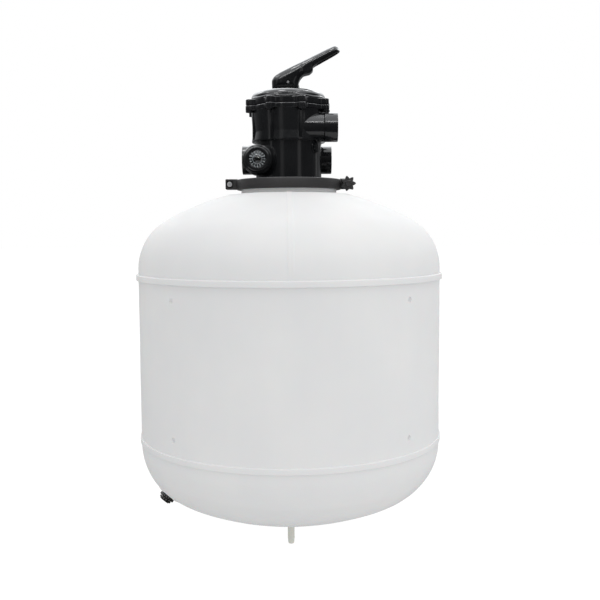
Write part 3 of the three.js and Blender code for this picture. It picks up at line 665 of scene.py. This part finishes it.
def clamp_hardware():
    """The bolt, nut, rod and washer, built forwards from the clamp's parting plane."""
    def fastener(obj, side, name, body, node):
        to_front(obj, side * CLAMP_BOLT.x, CLAMP_BOLT.z)
        finish_piece(obj, name, STEEL, body, node)

    bolt = lathe("bolt", rounded([
        [0, -24], [3, -24, 0.5], [3, 9.3], [5, 9.3, 0.5], [5, 14.3, 0.8], [0, 14.3],
    ]))
    cut(bolt, prism("socket", hexagon(4.2), 11.2, 16))
    fastener(bolt, -1, "left_bolt", "root", "clamp_bolt_left")
    nut = cut(prism("nut", hexagon(10), -20.5, -15.3, 0.5), disc("hole", 3.2, -30, 0))
    fastener(nut, -1, "left_nut", "root", "clamp_nut_left")
    rod = lathe("rod", rounded([
        [0, -20.3], [7.5, -20.3, 0.8], [7.5, -15.3, 0.5], [3.9, -15.3], [3.9, 29.0, 0.8], [0, 29.0],
    ]))
    fastener(rod, 1, "right_bolt", "root", "clamp_bolt_right")
    fastener(ring("washer", 4.3, 10, 15.3, 17.5, 0.3), 1, "right_washer", "knob_carrier", "knob_washer")


STAR_BLUNT = 0.3  # how blunt the points of the knob's star are


def star_outline(tip, valley, points, per=12):
    """A star with rounded valleys and blunt points."""
    limit = math.hypot(1, STAR_BLUNT)
    out = []
    for i in range(points * per):
        a = TAU * i / points / per
        drop = math.hypot(math.sin(points * a / 2), STAR_BLUNT)
        lobe = ((limit - drop) / (limit - STAR_BLUNT)) ** 0.7
        out.append(polar(valley + (tip - valley) * lobe, a))
    return out


def clamp_knob():
    """The knob, built forwards from the clamp's parting plane, with a blind bore for its bolt."""
    star = prism("knob", star_outline(15.4, 10.4, 7), 18.2, 28.8, 1.1, 3)
    join(star, lathe("hub", rounded([[0, 26], [6.8, 26], [6.5, 30.9, 1.2], [0, 30.9]])))
    dish = lathe("dish", rounded([[0, 30.1], [5.2, 30.4], [5.8, 33], [0, 33]]))
    cut(star, disc("bore", 4.25, 15, 29.4), dish)
    to_front(star, CLAMP_BOLT.x, CLAMP_BOLT.z)
    finish_piece(star, "star_knob", CLAMP_CHARCOAL, "knob", "clamp_knob")


# ---------------------------------------------------------------- valve body


def screw_angles():
    return [SCREW_FIRST + 360 / SCREW_COUNT * i for i in range(SCREW_COUNT)]


def at_screw(make):
    """A piece built on the axis, copied out to each screw."""
    out = []
    for angle in screw_angles():
        out.append(spun(placed(make(), Matrix.Translation((SCREW_CIRCLE, 0, 0))), angle))
    return out


def lobed(base, lug, blend, per=44):
    """The plan of a round flange whose screw lugs run into it with soft fillets."""
    def outside(r, turn):
        along = r * math.cos(turn) - min(max(r * math.cos(turn), base - 8), SCREW_CIRCLE)
        to_lug = math.hypot(along, r * math.sin(turn)) - lug
        to_ring = r - base
        near = max(blend - abs(to_lug - to_ring), 0) / blend
        return min(to_lug, to_ring) - near * near * blend / 4
    step = TAU / SCREW_COUNT / per
    reach = []
    for i in range(per):
        turn = (i - per / 2) * step
        low, high = base - 2, SCREW_CIRCLE + lug + 3
        for _ in range(30):
            middle = (low + high) / 2
            low, high = (middle, high) if outside(middle, turn) < 0 else (low, middle)
        reach.append(low)
    out = []
    for i in range(SCREW_COUNT * per):
        out.append(polar(reach[i % per], math.radians(SCREW_FIRST) + (i - per / 2) * step))
    return out


PORTS = {
    "pump": {"side": 1, "end": 98, "root": 30, "y": -39, "z": 861.5, "collar": 72, "depth": 50},
    "return": {"side": 1, "end": 88, "root": 30, "y": 38, "z": 803.5, "collar": None, "depth": 36},
    "waste": {"side": -1, "end": 92, "root": 30, "y": -22, "z": 799, "collar": None, "depth": 38},
}
THREAD_TURNS = 10
THREAD_PITCH = 2.3
THREAD_BITE = 1.1


def at_port(obj, pipe):
    return placed(obj, aim((pipe["side"], 0, 0), (0, pipe["y"], pipe["z"])))


def port(pipe):
    """A pipe port from its root inside the body to its mouth, with a step up at its collar if it has one."""
    foot = [[PORT_RADIUS, pipe["root"]]]
    if pipe["collar"]:
        foot = [[PORT_NECK, pipe["root"]], [PORT_NECK, pipe["collar"] - 1.2, 1],
                [PORT_RADIUS, pipe["collar"] + 0.4, 1]]
    outline = [[0, pipe["root"]], *foot, [PORT_RADIUS, pipe["end"], 1.3], [0, pipe["end"]]]
    return at_port(lathe("port", rounded(outline)), pipe)


def port_hollow(pipe):
    """The hollow of a port: a chamfered mouth, thread ridges, and a plain bore to its full depth."""
    radius, mouth = PORT_BORE, pipe["end"]
    crest = radius + THREAD_BITE
    rows = [[0, mouth + 3], [radius + 3.4, mouth + 3], [radius + 3.4, mouth + 0.2], [crest, mouth - 2.2]]
    for i in range(THREAD_TURNS):
        z = mouth - 2.4 - THREAD_PITCH * i
        rows += [[crest, z], [radius, z - THREAD_PITCH * 0.45], [radius, z - THREAD_PITCH * 0.55]]
    return at_port(lathe("port_hollow", rows + [[radius, pipe["depth"]], [0, pipe["depth"]]]), pipe)


def sight_boss(x, z):
    return to_front(lathe("boss", rounded([
        [0, 25], [30, 25], [30, 60, 1.5], [28.6, 62, 0.8], [28.6, 66, 0.8], [27, 67, 0.6], [27, 72, 1],
        [0, 72],
    ])), x, z)


def body_outside():
    b = BODY
    return lathe("body", rounded([
        [0, b["skirt_low"]], [b["skirt"], b["skirt_low"], 1], [b["skirt"], b["flange_low"]],
        [b["flange"], b["flange_low"], 0.8], [b["flange"], b["flange_top"], 1.2],
        [b["lower"] + 3, b["flange_top"], 1.5], [b["lower"], b["flange_top"] + 3.5, 2],
        [b["lower"], b["seat_low"], 1.5], [b["seat"], b["seat_low"], 1.2],
        [b["seat"], b["seat_low"] + 3, 1.5], [b["waist"], b["waist_z"] + 6, 12],
        [b["upper"], b["collar_low"] - 1, 2], [b["upper"], b["collar_top"] - 1],
        [0, b["collar_top"] - 1],
    ], 4), 192)


def body_hollows():
    """The rotor's chamber, the seal grooves, and the passages below with their windows in the seat."""
    b = BODY
    shelf = 768
    tools = [
        disc("chamber", b["upper_bore"], b["seat_top"], b["collar_top"] + 3),
        ring("groove", 71.2, 74.7, b["collar_top"] - 2.3, b["collar_top"] + 3),
        ring("under", b["tube"], b["skirt_bore"], b["skirt_low"] - 5, b["flange_low"] + 2),
        disc("centre", b["tube_bore"], b["skirt_low"] - 5, b["tube_top"]),
        disc("eye", 18, 820, b["seat_top"] + 1),
    ]
    for middles, half, low in (((0, 180), 55, shelf), ((90, 270), 31, b["flange_low"])):
        for middle in middles:
            tools.append(sector("passage", b["tube"], b["lower_bore"], middle - half, middle + half, low,
                                b["seat_low"]))
    for middle in (0, 75, 105, 180, 255, 285):
        tools.append(sector("window", 32, 56, middle - 11, middle + 11, b["seat_low"] - 1,
                            b["seat_top"] + 1))
    return tools


PLUG_TURN = -36  # azimuth of the gauge plug
PLUG_Z = 822


def valve_body():
    b = BODY
    glass = centre_mm("sight_glass")
    rib = (70, b["collar"] - 0.6, -3, 3, b["seat_low"] + 4, b["collar_low"] + 1, 1)
    body = body_outside()
    join(body, prism("collar", lobed(b["collar"], 7.5, 13), b["collar_low"], b["collar_top"], 1.6, 4))
    join(body, *at_screw(lambda: disc("nut_guard", 7.3, NUT_GUARD, b["collar_low"] + 2, 0.9, 48)))
    join(body, *[spun(block("rib", *rib), angle) for angle in screw_angles()])
    join(body, *[port(pipe) for pipe in PORTS.values()])
    join(body, sight_boss(glass.x, glass.z))
    join(body, spun(along_x(disc("plug_boss", 12, 50, b["lower"] + 1.5, 1), 0, PLUG_Z), PLUG_TURN))
    cut(body, *body_hollows())
    cut(body, *[port_hollow(pipe) for pipe in PORTS.values()])
    cut(body, to_front(disc("sight_hole", 15, 30, 75), glass.x, glass.z))
    cut(body, spun(along_x(disc("plug_hole", 6.4, 40, 90), 0, PLUG_Z), PLUG_TURN))
    cut(body, *at_screw(lambda: disc("hole", SCREW_HOLE, 885, 915, 0, 24)))
    cut(body, *at_screw(lambda: prism("pocket", hexagon(10.6), NUT_GUARD - 2, b["collar_low"] + 3)))
    finish_piece(body, "valve_housing", VALVE_BLACK, "root", "valve_body", 32)


def gauge_plug():
    seat = BODY["lower"] + 1.8
    head = prism("head", knurled(9.5, 0.9, 18), seat, seat + 3.5, 0.5)
    plug = join(disc("plug", 6.1, 60, seat + 1, 0.4), head)
    cut(plug, block("slot", -6, 6, -0.9, 0.9, seat + 2, seat + 6))
    spun(along_x(plug, 0, PLUG_Z), PLUG_TURN)
    finish_piece(plug, "gauge_port_plug", VALVE_BLACK, "root", "gauge_plug")


TOOTH_COUNT = 16
TOOTH_TILT = 22  # most that a tooth leans, in degrees


def sight_teeth(rim):
    """A ring of teeth, pale grey as a painted glint, that each lean a little their own way, so that they
    catch the light.
    """
    teeth = []
    for i in range(TOOTH_COUNT):
        outline = [[8.9, -0.4], [15.2, -1.15], [15.6, 0], [15.2, 1.15], [8.9, 0.4]]
        tooth = prism("tooth", outline, rim - 0.2, rim + 1.6, 0.35)
        tilt = Matrix.Rotation(math.radians(CHANCE.uniform(-TOOTH_TILT, TOOTH_TILT)), 4, "X")
        middle = Matrix.Translation((0, 0, rim + 0.7))
        placed(tooth, middle @ tilt @ middle.inverted())
        teeth.append(spun(tooth, 360 / TOOTH_COUNT * i))
    return join(ring("dial", 8.5, 9.7, rim - 0.6, rim + 1.5, 0.3), *teeth)


def sight_window():
    """The clear pane with its lens, the teeth, and the ring that holds them."""
    glass = centre_mm("sight_glass")
    back = -box_mm("sight_glass")[1].y
    rim = back + 4

    def in_place(obj, name, finish, node):
        finish_piece(to_front(obj, glass.x, glass.z), name, finish, "root", node)

    pane = lathe("glass", rounded([
        [0, back + 1.6], [7.2, back + 1.6, 1], [9.4, back], [20, back, 0.4], [20, rim, 0.5], [16.2, rim],
        [15.6, rim + 1.2, 0.8], [8.2, rim + 2.2, 1], [6.4, rim + 3.6, 2], [0, rim + 3.9],
    ]), 96)
    in_place(sight_teeth(rim), "sight_teeth", PAINTED_GLINT, "sight_glass")
    cut(pane, disc("room", 15.9, rim - 0.6, rim + 6))
    join(pane, lathe("lens", [[0, back + 1.6], [8.2, back + 1.6], [8.2, rim + 1.2],
                              *arc(0, rim - 5.2, 10.4, 38, 90, 14)], 64))
    in_place(pane, "sight_window", CLEAR, "sight_glass")
    face = back - 1.5
    bezel = lathe("bezel", rounded([
        [20.4, face], [24.2, face, 0.4], [24.4, rim + 0.6, 1.6], [22.4, rim + 2.5, 1.2],
        [17.4, rim + 2.3, 0.9], [16.4, rim + 0.4, 0.3], [20.4, rim + 0.3], [20.4, face],
    ]), 96)
    in_place(bezel, "sight_ring", VALVE_BLACK, "sight_bezel")


# ---------------------------------------------------------------- valve cover


LID = {"centre": 55, "reach": 20, "rise": 17.4, "round": 0.84}   # round is below 1 for a fuller shoulder


def lid_shoulder():
    out = []
    for degrees in range(20, 87, 3):
        t = math.radians(degrees)
        out.append([LID["centre"] + LID["reach"] * math.cos(t) ** LID["round"],
                    COVER["rim"] + LID["rise"] * math.sin(t) ** LID["round"]])
    return out


def cover_profile():
    """From the bore out under the roof to the skirt, and back over the shoulder to the stem's gland."""
    c = COVER
    centre = c["outer"] - 0.5 - c["shoulder"]
    return rounded([
        [c["bore"], c["rim"], 0.5], [13, c["rim"], 0.5], [14, c["rim"] + c["shoulder"] - c["wall"], 2],
        *arc(centre, c["rim"], c["shoulder"] - c["wall"], 90, 0, 8), [69, c["rim"]], [69, c["low"]],
        [c["outer"] - 1, c["low"]], [c["outer"] - 0.4, c["rim"] - 2],
        [c["outer"] - 0.2, c["rim"] + 2.2, 1.4], [c["outer"] - 1.6, c["rim"] + 4.2, 1.2],
        *lid_shoulder(),
        [46, c["top"] - 1.1, 4], [c["crown"] + 1, c["top"], 1.5], [c["bore"], c["top"], 0.4],
        [c["bore"], c["gland_top"]], [c["gland"], c["gland_top"]], [c["gland"], c["gland_low"]],
        [c["bore"], c["gland_low"]], [c["bore"], c["rim"], 0.5],
    ], 4)


def scalloped(_row, angle, r, z):
    """The step at the foot of the dome rises behind each screw and dips between them."""
    low, high = COVER["rim"], COVER["rim"] + 5
    if r < 66 or not low < z < high:
        return r, z
    fade = math.sin(math.pi * (z - low) / (high - low))
    lobe = math.cos(SCREW_COUNT * (angle - math.radians(SCREW_FIRST)))
    return r - 0.3 * fade * (1 - lobe), z + 0.7 * fade * lobe


def valve_cover():
    cover = lathe("cover", cover_profile(), 320, shift=scalloped)
    rim = prism("rim", lobed(COVER["outer"] - 0.4, 7, 13), COVER["low"], COVER["rim"], 1.8, 4)
    cut(rim, disc("inside", 71, COVER["low"] - 2, COVER["rim"] + 2, 0, 128))
    join(cover, rim)
    cut(cover, *at_screw(lambda: disc("hole", SCREW_HOLE, COVER["low"] - 5, COVER["rim"] + 7, 0, 24)))
    cut(cover, *at_screw(lambda: disc("seat", 5.8, SCREW_HEAD_SEAT, COVER["rim"] + 7, 0, 32)))
    finish_piece(cover, "valve_lid", VALVE_BLACK, "root", "valve_cover", 32)


def cover_fasteners():
    """Cross-slotted screws down through the lid's lugs, and the nuts in the pockets of the body's lugs."""
    head = SCREW_HEAD_SEAT + 0.3
    for i, angle in enumerate(screw_angles(), start=1):
        out = Matrix.Rotation(math.radians(angle), 4, "Z") @ Matrix.Translation((SCREW_CIRCLE, 0, 0))
        low, high = box_mm(f"cover_screw_{i}")
        screw = lathe("screw", rounded([
            [0, low.z], [3, low.z, 0.5], [3, head], [5.2, head, 0.3], [5.2, high.z - 1.4, 1],
            [3.4, high.z - 0.1, 2], [0, high.z],
        ]), 32)
        cut(screw, block("slot", -4.2, 4.2, -0.6, 0.6, high.z - 1.4, high.z + 1),
            block("slot", -0.6, 0.6, -4.2, 4.2, high.z - 1.4, high.z + 1))
        placed(screw, out)
        finish_piece(screw, f"lid_screw_{i}", STEEL, "root", f"cover_screw_{i}")
        low, high = box_mm(f"cover_nut_{i}")
        nut = prism("nut", hexagon(10), low.z, high.z, 0.4)
        cut(nut, disc("hole", SCREW_HOLE, low.z - 5, high.z + 5, 0, 24))
        placed(nut, out)
        finish_piece(nut, f"lid_nut_{i}", STEEL, "root", f"cover_nut_{i}")


# ---------------------------------------------------------------- lever handle


def lever_outline():
    """The lever from the front, as [x, z], with corner radii."""
    return rounded([
        [-32.2, HANDLE_LOW, 1], [26.5, HANDLE_LOW, 1.5], [22, 946, 5], [20.8, 953, 6], [24.5, 962, 6],
        [31, 968.8, 5], [44, 971.8, 5], [50.5, 978, 3], [50.2, 985.6, 1.5], [105.2, 1015.8, 1],
        [98.8, 1026, 1], [92, 1026.4, 4], [77, 1019.8, 25], [48.5, 1006, 30], [27, 995, 30],
        [4, 983.4, 30], [-19, 972.4, 10], [-27.5, 967, 6], [-32.8, 959, 6], [-32.2, HANDLE_LOW, 1],
    ], 6)[:-1]


LEVER_HALF = 22  # half the width of the hub
SLICE = 3  # spacing of the cuts across the lever that let its width change smoothly
VOXEL = 0.9
LEVER_WIDTHS = [  # place along the lever, and the share of the hub's width there
    (-33, 0.60), (-26, 0.84), (-12, 1.0), (6, 1.02), (20, 0.96), (34, 0.80), (50, 0.72), (72, 0.75),
    (88, 0.79), (97, 0.74), (102, 0.6), (106, 0.4),
]


def lever_width(x):
    """Share of the hub's half width at a place along the lever."""
    for (x0, w0), (x1, w1) in zip(LEVER_WIDTHS, LEVER_WIDTHS[1:]):
        if x <= x1:
            t = min(1.0, max(0.0, (x - x0) / (x1 - x0)))
            return w0 + (w1 - w0) * (3 - 2 * t) * t * t
    return LEVER_WIDTHS[-1][1]


def softened(obj, voxel, passes):
    """Rounds a solid all over: a fine even mesh, then smoothing."""
    remesh = obj.modifiers.new("remesh", "REMESH")
    remesh.mode = "VOXEL"
    remesh.voxel_size = voxel
    apply_modifiers(obj)
    return smoothed(obj, passes)


def smoothed(obj, passes):
    smooth = obj.modifiers.new("smooth", "SMOOTH")
    smooth.factor = 0.5
    smooth.iterations = passes
    return apply_modifiers(obj)


def edge_distance(points, outline):
    """For each [x, z] point, its distance from the outline, and how much its nearest edge faces up."""
    starts = np.array(outline)
    spans = np.roll(starts, -1, axis=0) - starts
    offsets = points[:, None, :] - starts[None, :, :]
    share = np.clip((offsets * spans).sum(2) / (spans ** 2).sum(1), 0, 1)
    gaps = np.linalg.norm(offsets - share[:, :, None] * spans, axis=2)
    nearest = gaps.argmin(axis=1)
    facing = spans[nearest, 0] / np.linalg.norm(spans[nearest], axis=1)
    return gaps.min(axis=1), -facing


# How far in from the outline the lever's sides are drawn in, and by what share of its width at the edge.
HUB_EDGE = {"reach": 15, "depth": 0.34}
GRIP_EDGE = {"reach": 4, "depth": 0.10, "top_reach": 6.5, "top_depth": 0.42}
GRIP_START = 8
GRIP_BLEND = 34
FULLNESS = 1.04


def pillowed(bm):
    """Draws the sides in towards the outline: a full round hub, and a grip chamfered along its top."""
    points = np.array([[v.co.x, v.co.z] for v in bm.verts])
    gaps, up = edge_distance(points, lever_outline())
    grip = np.clip((points[:, 0] - GRIP_START) / GRIP_BLEND, 0, 1)
    top = np.clip(up * 2, 0, 1)
    reach = HUB_EDGE["reach"] * (1 - grip) + (GRIP_EDGE["reach"] + GRIP_EDGE["top_reach"] * top) * grip
    depth = HUB_EDGE["depth"] * (1 - grip) + (GRIP_EDGE["depth"] + GRIP_EDGE["top_depth"] * top) * grip
    share = FULLNESS - depth * (1 - np.clip(gaps / reach, 0, 1)) ** 2
    for vert, scale in zip(bm.verts, share):
        vert.co.y *= scale


def lever_body():
    """The lever before it is hollowed: sliced, narrowed along its length, and rounded all over."""
    body = upright(prism("lever", lever_outline(), -LEVER_HALF, LEVER_HALF, 3, 3))

    def sliced(bm):
        for i in range(46):
            geometry = bm.verts[:] + bm.edges[:] + bm.faces[:]
            bmesh.ops.bisect_plane(bm, geom=geometry, plane_co=(-31.5 + SLICE * i, 0, 0),
                                   plane_no=(1, 0, 0), dist=1e-4)

    def narrowed(bm):
        for vert in bm.verts:
            vert.co.y *= lever_width(vert.co.x)

    edit(body, sliced)
    edit(body, narrowed)
    softened(body, VOXEL, 24)
    edit(body, pillowed)
    return smoothed(body, 20)


def handle():
    """The lever with the hollow under its grip and the slot for the stem, its pin, and the cam washer."""
    lever = lever_body()
    channel = upright(prism("channel", rounded([
        [56, 982, 1], [102, 1007.8, 1], [98, 1014.6, 1], [60, 993.8, 3], [56, 982, 1],
    ])[:-1], -11, 11, 1.5))
    slot = upright(prism("stem_slot", [
        [-9.4, HANDLE_LOW - 5], [20, HANDLE_LOW - 5], [10.3, PIN_Z], [10.3, PIN_Z + 14.5],
        [-12.6, PIN_Z + 14.5], [-12.6, PIN_Z + 1], [-9.4, PIN_Z - 3],
    ], -9, 9))
    arch = placed(disc("arch", 8, 8, 40, 0, 48), aim((0, -1, 0), (-5.5, 0, HANDLE_LOW - 3)))
    cut(lever, channel, slot, arch, to_front(disc("pin_hole", PIN_RADIUS + 0.3, -30, 30), 0, PIN_Z))
    finish_piece(lever, "lever_handle", VALVE_BLACK, "lever", "handle", 40)
    pin = to_front(disc("pin", PIN_RADIUS, -20, 20, 0.5, 32), 0, PIN_Z)
    finish_piece(pin, "lever_pin", STEEL, "stem", "handle_pin")
    low, high = box_mm("cam_washer")
    washer = ring("washer", 8.6, high.x, low.z, high.z, 0.4)
    finish_piece(washer, "washer_disc", NYLON, "indexer", "cam_washer")


# ---------------------------------------------------------------- pieces kept from the frame


SLOT_MATERIALS = dict([
    TANK_PLASTIC, VALVE_BLACK, CLAMP_CHARCOAL, DRAIN_BLACK, INNER_PLASTIC, NYLON, STEEL, RUBBER, CLEAR,
])


def dress_frame():
    """Gives every node of the frame the material of its slot in the record."""
    for entry in frame["record"]["subparts"]:
        node = frame["nodes"][entry["node"]]
        node.data.materials.clear()
        node.data.materials.append(SLOT_MATERIALS[entry["material_slot"]])


# ---------------------------------------------------------------- studio


FLOOR_HALF = 30  # metres
FLOOR_GLOW = 0.93


def stage_floor():
    """A plain pale floor that glows to nearly white, and lights no matte or glossy surface."""
    corners = [(FLOOR_HALF * x, FLOOR_HALF * y, 0) for x, y in ((-1, -1), (1, -1), (1, 1), (-1, 1))]
    floor = mesh_object("floor", corners, [[0, 1, 2, 3]])
    material = bpy.data.materials.new("floor_white")
    material.use_nodes = True
    bsdf = material.node_tree.nodes["Principled BSDF"]
    bsdf.inputs["Base Color"].default_value = (0.12, 0.12, 0.12, 1)
    bsdf.inputs["Roughness"].default_value = 0.9
    bsdf.inputs["Specular IOR Level"].default_value = 0.0
    bsdf.inputs["Emission Color"].default_value = (1, 1, 1, 1)
    bsdf.inputs["Emission Strength"].default_value = FLOOR_GLOW
    floor.data.materials.append(material)
    floor.visible_glossy = False
    floor.visible_diffuse = False


def studio_world():
    """White to the eye. Matte surfaces get soft light, brighter from the right and dimmer from straight
    below. Glossy ones see a dim room with a bright ceiling and far wall."""
    world = bpy.data.worlds.new("studio")
    bpy.context.scene.world = world
    world.use_nodes = True
    tree = world.node_tree
    tree.nodes.clear()

    def ramp(value, start, end, low, high):
        node = tree.nodes.new("ShaderNodeMapRange")
        for key, number in (("From Min", start), ("From Max", end), ("To Min", low), ("To Max", high)):
            node.inputs[key].default_value = number
        node.interpolation_type = "SMOOTHSTEP"
        tree.links.new(value, node.inputs["Value"])
        return node.outputs["Result"]

    def combine(operation, first, *others):
        for other in others:
            node = tree.nodes.new("ShaderNodeMath")
            node.operation = operation
            tree.links.new(first, node.inputs[0])
            tree.links.new(other, node.inputs[1])
            first = node.outputs[0]
        return first

    def light(colour, strength=None):
        node = tree.nodes.new("ShaderNodeBackground")
        node.inputs["Color"].default_value = (*colour, 1)
        if strength:
            tree.links.new(strength, node.inputs["Strength"])
        return node.outputs[0]

    def choose(ray, a, b):
        node = tree.nodes.new("ShaderNodeMixShader")
        tree.links.new(path.outputs[ray], node.inputs["Fac"])
        tree.links.new(a, node.inputs[1])
        tree.links.new(b, node.inputs[2])
        return node.outputs[0]

    path = tree.nodes.new("ShaderNodeLightPath")
    axes = tree.nodes.new("ShaderNodeSeparateXYZ")
    tree.links.new(tree.nodes.new("ShaderNodeTexCoord").outputs["Generated"], axes.inputs["Vector"])
    x, y, z = axes.outputs
    soft = light((1, 1, 1), combine(
        "ADD", ramp(x, -1, 1, 0.40, 0.585), ramp(y, -1, 1, 0.46, 0.39),
        ramp(z, -0.5, 0, 0.20, 0), ramp(z, -1, -0.55, -0.42, 0)))
    far_wall = combine("MULTIPLY", ramp(y, 0, 0.8, 0, 2.4), ramp(z, 0.06, 0.5, 0.05, 1))
    walls = ramp(z, -0.2, 0.1, 0.02, 0.09)
    ceiling = ramp(z, 0.3, 0.72, 0, 2.4)
    room = light((0.96, 0.98, 1), combine("ADD", walls, far_wall, ceiling))
    seen = choose("Is Diffuse Ray", choose("Is Glossy Ray", light((1, 1, 1)), room), soft)
    output = tree.nodes.new("ShaderNodeOutputWorld")
    tree.links.new(seen, output.inputs["Surface"])


# The studio is in metres.
LID_POINT = Vector((0, 0, 0.925))
EYE = Vector((0.0214, -1.731, 0.659))
LAMP_DISTANCE = 4
# Lamps that the lid's shoulder mirrors: the turn and rise of the shoulder's normal there, width and
# height at the lamps' distance, and radiance.
LAMPS = [(-49, 33, 0.5, 1.0, 9), (-33, 23, 0.35, 0.6, 9), (-9, 34, 0.7, 1.2, 14),
         (16, 29, 0.55, 0.7, 10), (33, 40, 0.6, 1.0, 11), (54, 40, 0.55, 1.0, 7)]
# Strips: turn from the front and height angle of the middle, width, height, radiance.
STRIPS = [(-4, 36, 7.0, 0.14, 22), (38, 12, 0.8, 2.4, 0.5), (-22, 12, 0.8, 2.4, 0.3),
          (114, 12, 0.35, 2.4, 0.6), (-62, 12, 0.4, 2.4, 0.6)]
SUN_STRENGTH = 1.0
SUN_SPREAD = 50  # degrees
SUN_TILT = (6, 3)  # degrees it leans towards the front and the right
LENS = 50.54  # millimetres, on a sensor 36 wide
CAMERA_PITCH = 0.0831  # radians
CAMERA_ROLL = 0.0058


def lamp(name, direction, width, height, radiance, shape):
    """A panel that only shows in reflections."""
    data = bpy.data.lights.new(name, "AREA")
    data.shape = shape
    data.size, data.size_y = width, height
    area = width * height * (math.pi / 4 if shape == "ELLIPSE" else 1)
    data.energy = radiance * math.pi * area
    obj = bpy.data.objects.new(name, data)
    bpy.context.scene.collection.objects.link(obj)
    obj.location = LID_POINT + LAMP_DISTANCE * direction
    obj.rotation_euler = (-direction).to_track_quat("-Z", "Y").to_euler()
    obj.visible_diffuse = False
    obj.visible_transmission = False


def towards(turn, height):
    """A direction, from its turn from the front and its angle above the horizontal, in degrees."""
    a, b = math.radians(turn), math.radians(height)
    return Vector((math.cos(b) * math.sin(a), -math.cos(b) * math.cos(a), math.sin(b)))


def studio_lights():
    sun = bpy.data.objects.new("top_light", bpy.data.lights.new("top_light", "SUN"))
    bpy.context.scene.collection.objects.link(sun)
    sun.data.energy = SUN_STRENGTH
    sun.data.angle = math.radians(SUN_SPREAD)
    sun.rotation_euler = (math.radians(SUN_TILT[0]), math.radians(SUN_TILT[1]), 0)
    sun.visible_glossy = False
    sight = (LID_POINT - EYE).normalized()
    for i, (turn, rise, width, height, radiance) in enumerate(LAMPS):
        lamp(f"lamp_{i}", sight.reflect(towards(turn, rise)), width, height, radiance, "ELLIPSE")
    for i, (turn, rise, width, height, radiance) in enumerate(STRIPS):
        lamp(f"strip_{i}", towards(turn, rise), width, height, radiance, "RECTANGLE")


def studio_camera():
    data = bpy.data.cameras.new("camera")
    data.sensor_width = 36
    data.lens = LENS
    camera = bpy.data.objects.new("camera", data)
    bpy.context.scene.collection.objects.link(camera)
    look = Matrix.Rotation(math.pi / 2 - CAMERA_PITCH, 4, "X") @ Matrix.Rotation(-CAMERA_ROLL, 4, "Z")
    camera.matrix_world = Matrix.Translation(EYE) @ look
    bpy.context.scene.camera = camera
    bpy.context.scene.view_settings.view_transform = "Standard"


# ---------------------------------------------------------------- assembly

dress_frame()
tank()
drain()
clamp_half(-1, "clamp_front_half", "clamp_front")
clamp_half(1, "clamp_rear_half", "clamp_rear")
clamp_hardware()
clamp_knob()
valve_body()
gauge_plug()
sight_window()
valve_cover()
cover_fasteners()
handle()
stage_floor()
studio_world()
studio_lights()
studio_camera()
